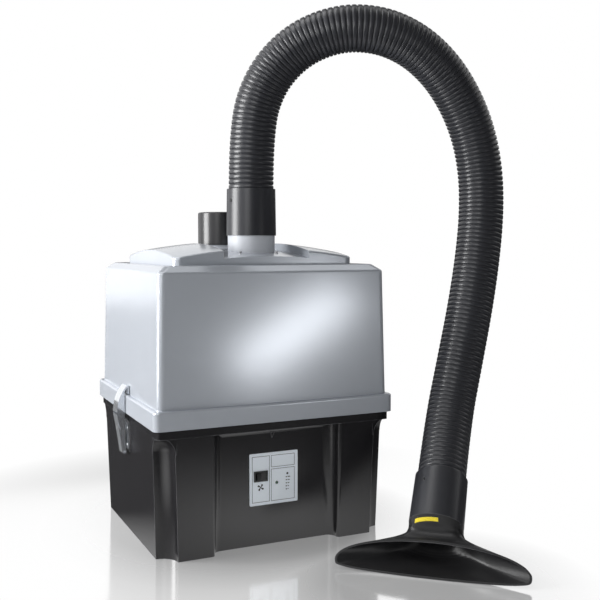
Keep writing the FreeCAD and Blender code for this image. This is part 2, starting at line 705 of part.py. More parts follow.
def make_shaft_nut():
    corner = SHAFT_R * 1.85
    turns = [math.radians(60 * index) for index in range(6)]
    points = [V(corner * math.cos(turn), corner * math.sin(turn), hub_top_z) for turn in turns]
    bore = Part.makeCylinder(SHAFT_R + SCREW_GAP, 2 * nut_height, V(0, 0, hub_top_z - 1))
    return polygon_prism(points, V(0, 0, nut_height)).cut(bore)


def make_impeller():
    """Back plate, hub, swept-back blades and a shroud ring."""
    disc = Part.makeCylinder(IMPELLER_R, IMPELLER_PLATE, V(0, 0, impeller_z))
    hub = Part.makeCylinder(HUB_R, HUB_HEIGHT, V(0, 0, impeller_z))
    shroud_z = impeller_z + IMPELLER_HEIGHT - IMPELLER_PLATE
    shroud = ring(IMPELLER_R, INLET_R, IMPELLER_PLATE, V(0, 0, shroud_z))
    blade_r = IMPELLER_R * BLADE_CURL_SHARE
    sweep = IMPELLER_R * BLADE_SWEEP_SHARE
    curl = ring(blade_r, blade_r - IMPELLER_BLADE, IMPELLER_HEIGHT, V(sweep, sweep, impeller_z))
    blade_root = INLET_R - IMPELLER_BLADE
    tips = ring(IMPELLER_R - IMPELLER_BLADE / 2, blade_root, IMPELLER_HEIGHT, V(0, 0, impeller_z))
    top_z = impeller_z + IMPELLER_HEIGHT
    side = solid_box(0, 2 * IMPELLER_R, -IMPELLER_R, sweep, impeller_z, top_z)
    blade = curl.common(tips).common(side)
    blades = []
    for index in range(IMPELLER_BLADES):
        copy = blade.copy()
        copy.rotate(V(0, 0, 0), UP, 360.0 * index / IMPELLER_BLADES)
        blades.append(copy)
    bore = Part.makeCylinder(SHAFT_R + SCREW_GAP, 2 * HUB_HEIGHT, V(0, 0, impeller_z - 1))
    return disc.fuse([hub, shroud] + blades).cut(bore).removeSplitter()


# Deck and filter cassette

filter_z = DECK_TOP_Z + FILTER_SEAL
filter_x = FILTER_WIDTH / 2
filter_y = FILTER_DEPTH / 2
carbon_z = filter_z + FILTER_SHEET
pleat_z = carbon_z + CARBON_HEIGHT
mat_z = pleat_z + PLEAT_HEIGHT
filter_top_z = mat_z + PREFILTER_HEIGHT + FILTER_SHEET


def make_deck_plate():
    half_x = BAND_X - BASE_WALL - DECK_CLEARANCE
    half_y = BAND_Y - BASE_WALL - DECK_CLEARANCE
    plate = rounded_prism(half_x, half_y, BAND_CORNER - BASE_WALL / 2, WALL_TOP_Z, DECK_TOP_Z)
    inlet = Part.makeCylinder(INLET_R, 3 * DECK_THICK, V(0, 0, WALL_TOP_Z - DECK_THICK))
    holes = [screw_hole(spot + UP * DECK_THICK, UP * -1, 2 * DECK_THICK) for spot in boss_spots]
    return plate.cut([inlet] + holes)


def frame_ring(half_x, half_y, inner_x, inner_y, z0, z1):
    return solid_box(-half_x, half_x, -half_y, half_y, z0, z1).cut(
        solid_box(-inner_x, inner_x, -inner_y, inner_y, z0, z1)
    )


def make_filter_frame():
    inner_x = filter_x - FILTER_SHEET
    inner_y = filter_y - FILTER_SHEET
    walls = frame_ring(filter_x, filter_y, inner_x, inner_y, filter_z, filter_top_z)
    lip_x = inner_x - FILTER_LIP
    lip_y = inner_y - FILTER_LIP
    bottom = frame_ring(filter_x, filter_y, lip_x, lip_y, filter_z, carbon_z)
    top = frame_ring(filter_x, filter_y, lip_x, lip_y, filter_top_z - FILTER_SHEET, filter_top_z)
    return walls.fuse([bottom, top]).removeSplitter()


def make_pleats():
    """One folded sheet: a zigzag of even pleats across the cassette."""
    half_x = filter_x - FILTER_SHEET - RUNNING_GAP
    half_y = filter_y - FILTER_SHEET - RUNNING_GAP
    step = half_x / PLEAT_COUNT
    fold = PLEAT_HEIGHT - PLEAT_THICK
    lower = []
    for index in range(2 * PLEAT_COUNT + 1):
        lower.append(V(-half_x + index * step, -half_y, pleat_z + (fold if index % 2 else 0)))
    upper = [point + UP * PLEAT_THICK for point in reversed(lower)]
    return polygon_prism(lower + upper, V(0, 2 * half_y, 0))


# Hood

ledge_x = RIM_X - LEDGE_WIDTH
ledge_y = RIM_Y - LEDGE_WIDTH
spigot_seat_z = PLATEAU_Z + PILLOW_CROWN_RISE - CHANNEL_DROP - SPIGOT_BOSS_DEPTH


def pillow_ball(drop):
    return Part.makeSphere(PILLOW_RADIUS - drop, PILLOW_CENTRE)


def pillow_block(inset, half_x, corner):
    half_y = PILLOW_DEPTH / 2 - inset
    block = rounded_prism(half_x - inset, half_y, corner, PLATEAU_Z - 2 * HOOD_WALL, CROWN_Z + 1)
    block.translate(V(0, PILLOW_CENTRE_Y, 0))
    return block


def outer_edges_at(shape, z, tolerance=0.01):
    level = []
    for edge in shape.Edges:
        low = abs(edge.BoundBox.ZMin - z)
        high = abs(edge.BoundBox.ZMax - z)
        if max(low, high) < tolerance:
            level.append(edge)
    return level


def make_hood_outer():
    rim = rounded_prism(RIM_X, RIM_Y, RIM_CORNER, RIM_BOTTOM_Z, LEDGE_Z)
    rim = rim.makeFillet(RIM_EDGE_ROUND, outer_edges_at(rim, LEDGE_Z))
    top_x = ledge_x - HOOD_DRAFT
    top_y = ledge_y - HOOD_DRAFT
    body = ruled([
        rounded_rectangle(ledge_x, ledge_y, RIM_CORNER, LEDGE_Z - RIM_HEIGHT / 2),
        rounded_rectangle(top_x, top_y, RIM_CORNER, HOOD_WALL_TOP_Z),
        rounded_rectangle(top_x - CHAMFER_RUN, top_y - CHAMFER_RUN, RIM_CORNER, PLATEAU_Z),
    ])
    edges = outer_edges_at(body, HOOD_WALL_TOP_Z) + outer_edges_at(body, PLATEAU_Z)
    body = body.makeFillet(HOOD_EDGE_ROUND, edges)
    pillow = pillow_block(0, PILLOW_WIDTH / 2, PILLOW_CORNER).common(pillow_ball(0))
    crown = [edge for edge in pillow.Edges if edge.BoundBox.ZMin > PLATEAU_Z]
    pillow = pillow.makeFillet(PILLOW_EDGE_ROUND, crown)
    channel = solid_box(-CHANNEL_WIDTH / 2, CHANNEL_WIDTH / 2, -RIM_Y, RIM_Y, PLATEAU_Z, CROWN_Z + 1)
    pillow = pillow.cut(channel.cut(pillow_ball(CHANNEL_DROP)))
    return rim.fuse([body, pillow])


def make_hood_shell():
    outer = make_hood_outer()
    skirt = rounded_prism(
        RIM_X - SKIRT_WALL, RIM_Y - SKIRT_WALL, RIM_CORNER - HOOD_WALL / 2, RIM_BOTTOM_Z - 1, GASKET_TOP_Z
    )
    inner_x = ledge_x - HOOD_WALL
    inner_y = ledge_y - HOOD_WALL
    top_x = inner_x - HOOD_DRAFT
    top_y = inner_y - HOOD_DRAFT
    inner_corner = RIM_CORNER - HOOD_WALL / 2
    room = ruled([
        rounded_rectangle(inner_x, inner_y, inner_corner, RIM_BOTTOM_Z - 1),
        rounded_rectangle(top_x, top_y, inner_corner, HOOD_WALL_TOP_Z - HOOD_WALL / 2),
        rounded_rectangle(top_x - CHAMFER_RUN, top_y - CHAMFER_RUN, inner_corner, PLATEAU_Z - HOOD_WALL),
    ])
    below_channel = pillow_block(HOOD_WALL, PILLOW_WIDTH / 2, PILLOW_CORNER - HOOD_WALL / 2)
    below_channel = below_channel.common(pillow_ball(CHANNEL_DROP + HOOD_WALL))
    wing_start = CHANNEL_WIDTH / 2 + HOOD_WALL
    wings = pillow_block(HOOD_WALL, PILLOW_WIDTH / 2, PILLOW_CORNER - HOOD_WALL / 2)
    wings = wings.common(pillow_ball(HOOD_WALL))
    middle = solid_box(-wing_start, wing_start, -RIM_Y, RIM_Y, PLATEAU_Z - RIM_HEIGHT, CROWN_Z + 1)
    wings = wings.cut(middle)
    bosses = []
    holes = []
    for y in (SPIGOT_FRONT_Y, SPIGOT_REAR_Y):
        boss = Part.makeCylinder(SPIGOT_FLANGE_R, 2 * SPIGOT_BOSS_DEPTH, V(0, y, spigot_seat_z))
        bosses.append(boss.common(pillow_ball(CHANNEL_DROP)))
        below = V(0, y, spigot_seat_z - SPIGOT_BOSS_DEPTH)
        holes.append(Part.makeCylinder(SPIGOT_R + RUNNING_GAP, 4 * SPIGOT_BOSS_DEPTH, below))
    holes += [screw_hole(spot, UP) for spot in spigot_screw_spots]
    shell = outer.cut([skirt, room, below_channel, wings])
    return shell.fuse(bosses).cut(holes).removeSplitter()


def make_rim_gasket():
    outer_x = BAND_X - GASKET_INSET
    outer_y = BAND_Y - GASKET_INSET
    inner_x = BAND_X - BASE_WALL - GASKET_INSET
    inner_y = BAND_Y - BASE_WALL - GASKET_INSET
    outer = rounded_prism(outer_x, outer_y, BAND_CORNER, BASE_HEIGHT, GASKET_TOP_Z)
    corner = BAND_CORNER - BASE_WALL / 2
    return outer.cut(rounded_prism(inner_x, inner_y, corner, BASE_HEIGHT, GASKET_TOP_Z))


# Spigots and cap

spigot_top_z = spigot_seat_z + SPIGOT_BOSS_DEPTH + SPIGOT_STAND
spigot_base_z = spigot_seat_z - SPIGOT_FLANGE
spigot_screw_r = (SPIGOT_R + SPIGOT_FLANGE_R) / 2
spigot_screw_spots = [
    V(sx * spigot_screw_r * math.sqrt(0.5), y + sy * spigot_screw_r * math.sqrt(0.5), spigot_base_z)
    for y in (SPIGOT_FRONT_Y, SPIGOT_REAR_Y) for sx in (-1, 1) for sy in (-1, 1)
]


def make_spigot(y):
    tube = Part.makeCylinder(SPIGOT_R, spigot_top_z - spigot_base_z, V(0, y, spigot_base_z))
    flange = Part.makeCylinder(SPIGOT_FLANGE_R, SPIGOT_FLANGE, V(0, y, spigot_base_z))
    through = 2 * SPIGOT_STAND + 4 * SPIGOT_BOSS_DEPTH
    bore = Part.makeCylinder(SPIGOT_R - SPIGOT_WALL, through, V(0, y, spigot_base_z - 1))
    holes = [screw_hole(spot, UP) for spot in spigot_screw_spots if abs(spot.y - y) < SPIGOT_FLANGE_R]
    return tube.fuse(flange).cut([bore] + holes).removeSplitter()


def make_spigot_cap():
    top_z = spigot_top_z + RUNNING_GAP + CAP_TOP
    outer_r = SPIGOT_R + RUNNING_GAP + CAP_WALL
    base = V(0, SPIGOT_REAR_Y, top_z - CAP_HEIGHT)
    cap = Part.makeCylinder(outer_r, CAP_HEIGHT, base)
    cap = cap.makeFillet(CAP_EDGE_ROUND, outer_edges_at(cap, top_z))
    return cap.cut(Part.makeCylinder(SPIGOT_R + RUNNING_GAP, CAP_HEIGHT - CAP_TOP, base))


# Cuffs, click buttons and sleeves are drawn on a local axis: zero at the fitting end, hose end up.

cuff_base_z = spigot_top_z + RUNNING_GAP - CUFF_FIT_LENGTH
sleeve_start = CUFF_FIT_LENGTH + CUFF_STOP
hose_start = sleeve_start + SLEEVE_LENGTH
click_height = sleeve_start + CLICK_FROM_STOP
click_inner_r = SLEEVE_R - CLICK_DEPTH


def cuff_radius(height):
    return CUFF_R_FIT_END + (CUFF_R_HOSE_END - CUFF_R_FIT_END) * height / CUFF_LENGTH


def local_cuff():
    body = Part.makeCone(CUFF_R_FIT_END, CUFF_R_HOSE_END, CUFF_LENGTH)
    fit = Part.makeCylinder(SPIGOT_R + RUNNING_GAP, CUFF_FIT_LENGTH)
    stop = Part.makeCylinder(CUFF_STOP_R, CUFF_LENGTH)
    socket = Part.makeCylinder(SLEEVE_R + RUNNING_GAP, CUFF_LENGTH, V(0, 0, sleeve_start))
    hole = Part.makeCylinder(CLICK_R + RUNNING_GAP, 2 * CUFF_R_FIT_END, V(0, 0, click_height), V(-1, 0, 0))
    return body.cut([fit, stop, socket, hole])


def local_sleeve():
    sleeve = ring(SLEEVE_R, HOSE_BORE_R, SLEEVE_LENGTH, V(0, 0, sleeve_start))
    pocket_r = click_inner_r - CLICK_TRAVEL - RUNNING_GAP
    pocket = Part.makeCylinder(CLICK_R + RUNNING_GAP, HOSE_R, V(-pocket_r, 0, click_height), V(-1, 0, 0))
    return sleeve.cut(pocket)


def local_click_button():
    outer_r = cuff_radius(click_height) + CLICK_PROUD
    start = V(-click_inner_r, 0, click_height)
    button = Part.makeCylinder(CLICK_R, outer_r - click_inner_r, start, V(-1, 0, 0))
    face_x = -click_inner_r - CLICK_PROUD
    rim = [edge for edge in button.Edges if edge.BoundBox.XMax < face_x and edge.Closed]
    return button.makeFillet(CLICK_PROUD * 0.6, rim)


def turned(shape, base, x_axis, axis):
    """Copy of a local shape with its zero at base, its height along axis."""
    copy = shape.copy()
    rotation = FreeCAD.Rotation(x_axis, axis.cross(x_axis), axis, "ZXY")
    copy.Placement = FreeCAD.Placement(base, rotation)
    return copy


# Nozzle frame: facing is level and points out of the mouth, across is level along the lip.

facing = V(math.cos(math.radians(NOZZLE_FACING_DEG)), math.sin(math.radians(NOZZLE_FACING_DEG)), 0)
across = V(-facing.y, facing.x, 0)
drop = math.radians(NOZZLE_NECK_DROP_DEG)
neck_axis = facing * math.cos(drop) - UP * math.sin(drop)
neck_rise = facing * math.sin(drop) + UP * math.cos(drop)
neck_end = NOZZLE_LIP_CENTRE - facing * NOZZLE_NECK_BACK + UP * NOZZLE_NECK_HEIGHT
cuff_up = neck_axis * -1
upper_cuff_base = V(0, SPIGOT_FRONT_Y, cuff_base_z)


def nozzle_point(side, forward, height):
    return NOZZLE_LIP_CENTRE + across * side + facing * forward + UP * height


def section_points(top, bottom, half_width, flatness, inset, angles):
    """Points of a closed curve between a top and a bottom point in the nozzle's plane (forward, height).

    flatness 0 is an ellipse; flatness 1 is a D: a half ellipse over a nearly flat bottom.
    """
    chord = V(0, top[0] - bottom[0], top[1] - bottom[1])
    span = chord.Length
    rise = chord * (1 / span)
    lower_share = 0.5 - MOUTH_LOW_SHIFT * flatness
    low = span * lower_share - inset
    high = span * (1 - lower_share) - inset
    width = half_width - inset
    middle = V(0, bottom[0], bottom[1]) + rise * (span * lower_share)
    power = 1 - MOUTH_FLAT * flatness
    points = []
    for angle in angles:
        lift = math.sin(angle)
        height = high * lift if lift >= 0 else -low * abs(lift) ** power
        spot = middle + rise * height
        points.append(nozzle_point(width * math.cos(angle), spot.y, spot.z))
    return points


def nozzle_section(top, bottom, half_width, flatness, inset):
    count = 36
    angles = [-2 * math.pi * index / count for index in range(count)]
    points = section_points(top, bottom, half_width, flatness, inset, angles)
    knots = [float(index) for index in range(count + 1)]
    curve = Part.BSplineCurve()
    curve.interpolate(Points=points, Parameters=knots, PeriodicFlag=True)
    return Part.Wire(curve.toShape())


lean = math.radians(NOZZLE_MOUTH_LEAN_DEG)
mouth_bottom = (0.0, NOZZLE_LIFT)
mouth_top = (-NOZZLE_MOUTH_HEIGHT * math.sin(lean), NOZZLE_LIFT + NOZZLE_MOUTH_HEIGHT * math.cos(lean))


def neck_spot(along, up):
    """(forward, height) of a point near the neck, measured from the neck's end."""
    return (
        -NOZZLE_NECK_BACK + along * math.cos(drop) + up * math.sin(drop),
        NOZZLE_NECK_HEIGHT - along * math.sin(drop) + up * math.cos(drop),
    )


def between(start, end, share):
    return (start[0] + (end[0] - start[0]) * share, start[1] + (end[1] - start[1]) * share)


def nozzle_stations():
    """Rows from the neck's end to the mouth: top forward, top height, bottom forward, bottom height,
    half width and flatness. The top line bows back between the neck and the lip."""
    neck_top = neck_spot(0, NOZZLE_NECK_R)
    neck_bottom = neck_spot(0, -NOZZLE_NECK_R)
    heel = (neck_bottom[0] * 0.72, NOZZLE_LIFT + 5.0)
    flare = NOZZLE_WIDTH / 2 - NOZZLE_NECK_R
    shares = (
        (0.0, 0.0, 0.0, 0.0, 0.0),
        (0.32, -0.5, 0.5, 0.015, 0.1),
        (0.58, 0.0, 0.95, 0.12, 0.35),
        (0.78, 0.38, 1.0, 0.36, 0.65),
        (0.92, 0.72, 0.66, 0.70, 0.9),
        (1.0, 1.0, 0.0, 1.0, 1.0),
    )
    rows = []
    for top_share, bottom_share, bow_share, flare_share, flatness in shares:
        top = between(neck_top, mouth_top, top_share)
        bottom = between(heel, mouth_bottom, max(bottom_share, 0.0))
        if not rows:
            bottom = neck_bottom
        elif bottom_share < 0:
            bottom = between(heel, neck_bottom, -bottom_share)
        half_width = NOZZLE_NECK_R + flare * flare_share
        top_forward = top[0] - NOZZLE_THROAT_BOW * bow_share
        rows.append((top_forward, top[1], bottom[0], bottom[1], half_width, flatness))
    return rows


def smooth_rows(rows, steps):
    """Rows in between, on a cubic through every given row."""
    last = len(rows) - 1
    slopes = []
    for index in range(len(rows)):
        before = rows[max(index - 1, 0)]
        after = rows[min(index + 1, last)]
        span = min(index + 1, last) - max(index - 1, 0)
        slopes.append([(b - a) / span for a, b in zip(before, after)])
    finer = []
    for index in range(last):
        for step in range(steps):
            t = step / steps
            here = 2 * t ** 3 - 3 * t ** 2 + 1
            there = 3 * t ** 2 - 2 * t ** 3
            leave = t ** 3 - 2 * t ** 2 + t
            arrive = t ** 3 - t ** 2
            finer.append([
                here * a + leave * m + there * b + arrive * n
                for a, m, b, n in zip(rows[index], slopes[index], rows[index + 1], slopes[index + 1])
            ])
    finer.append(list(rows[last]))
    return finer


def neck_circle(along, radius):
    return nozzle_section(neck_spot(along, radius), neck_spot(along, -radius), radius, 0.0, 0.0)


def flat_ring(outer_wire, inner_wire):
    hole = inner_wire.copy()
    hole.reverse()
    return Part.Face([outer_wire, hole])


def make_funnel():
    """Flaring funnel with an open mouth and a plain round neck that slides into its cuff."""
    rows = smooth_rows(nozzle_stations(), NOZZLE_STEPS)
    bore_r = SPIGOT_R - SPIGOT_WALL
    neck_inner = NOZZLE_NECK_R - bore_r
    outer = []
    inner = []
    for index, row in enumerate(rows):
        share = min(index / NOZZLE_STEPS, 1.0)
        inset = neck_inner + (NOZZLE_WALL - neck_inner) * share
        place = ((row[0], row[1]), (row[2], row[3]), row[4], row[5])
        outer.append(nozzle_section(*place, 0.0))
        inner.append(nozzle_section(*place, inset))
    neck_top = RUNNING_GAP - CUFF_FIT_LENGTH
    tip_outer = neck_circle(neck_top, SPIGOT_R)
    tip_inner = neck_circle(neck_top, bore_r)
    shoulder = neck_circle(0, SPIGOT_R)
    faces = []
    for skin in (outer, [tip_inner] + inner, [tip_outer, shoulder]):
        for near, far in zip(skin, skin[1:]):
            faces.append(Part.makeRuledSurface(near.Edges[0], far.Edges[0]))
    faces.append(flat_ring(outer[-1], inner[-1]))
    faces.append(flat_ring(outer[0], shoulder))
    faces.append(flat_ring(tip_outer, tip_inner))
    shell = Part.makeShell(faces)
    shell.sewShape()
    return Part.makeSolid(shell)


# Hose

hose_first = upper_cuff_base + UP * hose_start
hose_last = neck_end + cuff_up * hose_start
hose_route = [hose_first, hose_first + UP * HOSE_START_RUN] + HOSE_BENDS
hose_route += [hose_last + cuff_up * HOSE_END_RUN, hose_last]


def route_pieces(points):
    """Straight runs joined by tangent arcs, as ('line', start, end) and
    ('arc', start, centre, normal, angle), with the radius of each arc."""
    pieces = []
    radii = []
    cursor = points[0]
    for before, corner, after in zip(points, points[1:], points[2:]):
        arriving = (corner - before).normalize()
        leaving = (after - corner).normalize()
        turn = arriving.getAngle(leaving)
        shorter = min((corner - before).Length, (after - corner).Length)
        tangent = ARC_SHARE * shorter
        radius = tangent / math.tan(turn / 2)
        radii.append(radius)
        start = corner - arriving * tangent
        normal = arriving.cross(leaving).normalize()
        centre = start + normal.cross(arriving) * radius
        pieces.append(("line", cursor, start))
        pieces.append(("arc", start, centre, normal, turn))
        cursor = corner + leaving * tangent
    pieces.append(("line", cursor, points[-1]))
    return pieces, radii


def piece_length(piece):
    if piece[0] == "line":
        return (piece[2] - piece[1]).Length
    return (piece[1] - piece[2]).Length * piece[4]


def route_spot(pieces, distance):
    """Point and direction at a distance along the route."""
    for piece in pieces:
        length = piece_length(piece)
        if distance <= length or piece is pieces[-1]:
            share = min(max(distance / length, 0.0), 1.0)
            if piece[0] == "line":
                return piece[1] + (piece[2] - piece[1]) * share, (piece[2] - piece[1]).normalize()
            rotation = FreeCAD.Rotation(piece[3], math.degrees(piece[4] * share))
            arm = rotation.multVec(piece[1] - piece[2])
            return piece[2] + arm, piece[3].cross(arm).normalize()
        distance -= length


def route_circle(pieces, distance, radius, steady):
    spot, direction = route_spot(pieces, distance)
    x_axis = (steady - direction * steady.dot(direction)).normalize()
    circle = Part.makeCircle(radius, V(0, 0, 0), UP)
    return Part.Wire(turned(circle, spot, x_axis, direction))


def make_hose(pieces, length):
    """Ribbed tube: broad crests with narrow grooves between them, and a smooth bore."""
    count = int(round(length / RIB_PITCH))
    pitch = length / count
    groove = pitch - RIB_CREST - 2 * RIB_RAMP
    steady = V(0.6, 0.8, 0)
    circles = []
    for index in range(count):
        start = index * pitch + groove / 2
        marks = (
            (start, HOSE_GROOVE_R), (start + RIB_RAMP, HOSE_R),
            (start + RIB_RAMP + RIB_CREST, HOSE_R), (start + 2 * RIB_RAMP + RIB_CREST, HOSE_GROOVE_R),
        )
        circles += [route_circle(pieces, mark, radius, steady) for mark, radius in marks]
    ends = [route_circle(pieces, spot, HOSE_GROOVE_R, steady) for spot in (0, length)]
    skin = ruled([ends[0]] + circles + [ends[1]])
    edges = []
    for piece in pieces:
        if piece[0] == "line":
            edges.append(Part.LineSegment(piece[1], piece[2]).toShape())
        else:
            spots = []
            for share in (0, 0.5, 1):
                turn = FreeCAD.Rotation(piece[3], math.degrees(piece[4] * share))
                spots.append(piece[2] + turn.multVec(piece[1] - piece[2]))
            edges.append(Part.Arc(*spots).toShape())
    path = Part.Wire(edges)
    bore = path.makePipeShell([route_circle(pieces, 0, HOSE_BORE_R, steady)], True, False)
    return skin.cut(bore), count


# Latches: drawn once for the right side in (out, height), then mirrored.

pivot_out = RIM_X + LATCH_PIVOT_OUT
pivot_z = RIM_BOTTOM_Z - LATCH_PIVOT_DROP
over_centre = math.radians(LATCH_OVER_CENTRE_DEG)
hook_pin_out = pivot_out - LATCH_THROW * math.sin(over_centre)
hook_pin_z = pivot_z - LATCH_THROW * math.cos(over_centre)
bracket_face = latch_pad_x + LATCH_SHEET
bracket_top_z = latch_pad_top_z
bracket_bottom_z = bracket_top_z - BRACKET_HEIGHT
rivet_spots = [
    (LATCH_Y + side * (BRACKET_HALF - RIVET_HEAD_R - 0.5), z)
    for side in (-1, 1) for z in (bracket_bottom_z + 2 * RIVET_HEAD_R, bracket_top_z - 3 * RIVET_HEAD_R)
]


def side_plate(points, y0, y1):
    return polygon_prism([V(out, y0, z) for out, z in points], V(0, y1 - y0, 0))


def cross_pin(radius, out, z, half):
    return Part.makeCylinder(radius, 2 * half, V(out, LATCH_Y - half, z), INWARD)


def both_flanks(points, inner, sheet):
    return [
        side_plate(points, LATCH_Y + inner, LATCH_Y + inner + sheet),
        side_plate(points, LATCH_Y - inner - sheet, LATCH_Y - inner),
    ]


def make_latch_bracket():
    y0 = LATCH_Y - BRACKET_HALF
    y1 = LATCH_Y + BRACKET_HALF
    plate = solid_box(latch_pad_x, bracket_face, y0, y1, bracket_bottom_z, bracket_top_z)
    rise = V(pivot_out - bracket_face, 0, pivot_z - bracket_top_z)
    normal = V(-rise.z, 0, rise.x).normalize() * EAR_R
    low_z = bracket_top_z - BRACKET_HEIGHT * 0.4
    fall = V(pivot_out - bracket_face, 0, pivot_z - low_z)
    under = V(fall.z, 0, -fall.x).normalize() * EAR_R
    root = latch_pad_x + LATCH_SHEET / 2
    points = [
        (root, low_z), (pivot_out + under.x, pivot_z + under.z), (pivot_out + normal.x, pivot_z + normal.z),
        (root, bracket_top_z),
    ]
    ears = both_flanks(points, EAR_INNER, LATCH_SHEET)
    ears.append(cross_pin(EAR_R, pivot_out, pivot_z, EAR_INNER + LATCH_SHEET))
    gap = cross_pin(EAR_R + 1, pivot_out, pivot_z, EAR_INNER)
    pin = cross_pin(LATCH_PIN_R, pivot_out, pivot_z, EAR_INNER + 2 * LATCH_SHEET)
    starts = [V(latch_pad_x - LATCH_SHEET, y, z) for y, z in rivet_spots]
    holes = [Part.makeCylinder(RIVET_R + RUNNING_GAP, 4 * LATCH_SHEET, start, V(1, 0, 0)) for start in starts]
    return plate.fuse(ears).cut([gap, pin] + holes).removeSplitter()


def make_lever():
    """Channel that leans towards the tub and ends in a rolled knob."""
    web_out = pivot_out + LEVER_WEB_OUT + LEVER_SHEET
    top = pivot_z + LEVER_TOP
    bottom = pivot_z - LEVER_LENGTH
    foot_out = web_out - LEVER_LEAN
    eye_in = hook_pin_out - 2 * LATCH_PIN_R
    knee_z = hook_pin_z - 3 * LATCH_PIN_R
    flank = [
        (eye_in, pivot_z), (pivot_out - LATCH_PIN_R, top), (web_out, top), (foot_out, bottom),
        (foot_out - LEVER_DEPTH, bottom), (eye_in, knee_z),
    ]
    web = [
        (web_out - LEVER_SHEET, top), (web_out, top), (foot_out, bottom), (foot_out - LEVER_SHEET, bottom),
    ]
    half = LEVER_INNER + LEVER_SHEET
    curl_out = foot_out - LEVER_CURL_R
    curl = cross_pin(LEVER_CURL_R, curl_out, bottom, half)
    face = side_plate(web, LATCH_Y - half, LATCH_Y + half)
    lever = face.fuse(both_flanks(flank, LEVER_INNER, LEVER_SHEET) + [curl])
    eye = cross_pin(LEVER_CURL_R - LEVER_CURL_WALL, curl_out, bottom, half + 1)
    pivot_hole = cross_pin(LATCH_PIN_R + RUNNING_GAP, pivot_out, pivot_z, half + 1)
    pin_hole = cross_pin(LATCH_PIN_R + RUNNING_GAP, hook_pin_out, hook_pin_z, half + 1)
    return lever.cut([eye, pivot_hole, pin_hole]).removeSplitter()


def make_hook():
    """Bowed channel from the lever's pin up and over the hood's rim, with a claw behind the ledge."""
    inner = RIM_X + HOOK_RIM_GAP
    claw_in = ledge_x + HOOK_WALL_GAP
    claw_out = claw_in + LATCH_SHEET
    top_z = LEDGE_Z + HOOK_TOP_RISE
    tip_z = LEDGE_Z + HOOK_LEDGE_GAP
    band_z = LEDGE_Z - HOOK_BAND_DROP
    half = HOOK_INNER + LATCH_SHEET
    y0 = LATCH_Y - half
    y1 = LATCH_Y + half
    foot = V(hook_pin_out + HOOK_EYE_R, 0, hook_pin_z)
    crown = V(claw_in + HOOK_EYE_R, 0, top_z)
    bulge = V(RIM_X + HOOK_BOW, 0, (LEDGE_Z + RIM_BOTTOM_Z) / 2)
    bow = Part.Arc(foot, bulge, crown).toShape().Curve
    far = bow.Center.x + bow.Radius
    skin = ring(bow.Radius, bow.Radius - LATCH_SHEET, 2 * half, bow.Center + INWARD * y0, INWARD)
    band = skin.common(solid_box(inner, far, y0, y1, band_z, top_z))
    shoulder = skin.common(solid_box(claw_in, inner, y0, y1, LEDGE_Z + HOOK_TOP_RISE / 2, top_z))
    roof = solid_box(claw_in, crown.x, y0, y1, top_z - LATCH_SHEET, top_z)
    claw = solid_box(claw_in, claw_out, y0, y1, tip_z, top_z)
    arm = [
        (inner, RIM_BOTTOM_Z), (inner, hook_pin_z + HOOK_EYE_R), (hook_pin_out - HOOK_EYE_R, hook_pin_z),
        (foot.x, hook_pin_z), (far - LATCH_SHEET, RIM_BOTTOM_Z),
    ]
    flanks = both_flanks(arm, HOOK_INNER, LATCH_SHEET)
    for side_y in (y0, LATCH_Y + HOOK_INNER):
        disc = Part.makeCylinder(bow.Radius, LATCH_SHEET, bow.Center + INWARD * side_y, INWARD)
        flanks.append(disc.common(solid_box(inner, far, y0, y1, hook_pin_z, top_z)))
    eyes = cross_pin(HOOK_EYE_R, hook_pin_out, hook_pin_z, half).cut(
        cross_pin(HOOK_EYE_R + 1, hook_pin_out, hook_pin_z, HOOK_INNER)
    )
    pin = cross_pin(LATCH_PIN_R + RUNNING_GAP, hook_pin_out, hook_pin_z, half + 1)
    return band.fuse([shoulder, roof, claw, eyes] + flanks).cut(pin).removeSplitter()


def make_rivets():
    shank = BASE_WALL + 2 * LATCH_SHEET + 2 * RIVET_HEAD
    rivets = []
    for y, z in rivet_spots:
        inside = wall_half(z - RIVET_HEAD_R)[0] - BASE_WALL - RIVET_HEAD
        head = Part.makeCylinder(RIVET_HEAD_R, RIVET_HEAD, V(bracket_face, y, z), V(1, 0, 0))
        middle = V(bracket_face + RIVET_HEAD / 2, y, z)
        edges = [edge for edge in head.Edges if edge.BoundBox.XMin > middle.x]
        head = head.makeFillet(RIVET_HEAD * 0.6, edges)
        length = min(shank, bracket_face - inside) + RIVET_HEAD / 2
        rivets.append(head.fuse(Part.makeCylinder(RIVET_R, length, middle, V(-1, 0, 0))))
    return rivets


def mirrored(shape):
    return shape.mirror(V(0, 0, 0), V(1, 0, 0))


# Back fittings

grille_reach_x = (GRILLE_WIDTH - GRILLE_MARGIN) / 2
grille_reach_z = (GRILLE_HEIGHT - GRILLE_MARGIN) / 2
grille_face_y = grille_pad_y + GRILLE_THICK
grille_screw_spots = [
    V(duct_mid_x + sx * grille_reach_x, grille_face_y, duct_mid_z + sz * grille_reach_z)
    for sx in (-1, 1) for sz in (-1, 1)
]
inlet_reach = (INLET_FLANGE_WIDTH + INLET_BODY_WIDTH) / 4
inlet_face_y = inlet_pad_y + INLET_FLANGE
inlet_screw_spots = [V(INLET_X + sx * inlet_reach, inlet_face_y, INLET_Z) for sx in (-1, 1)]


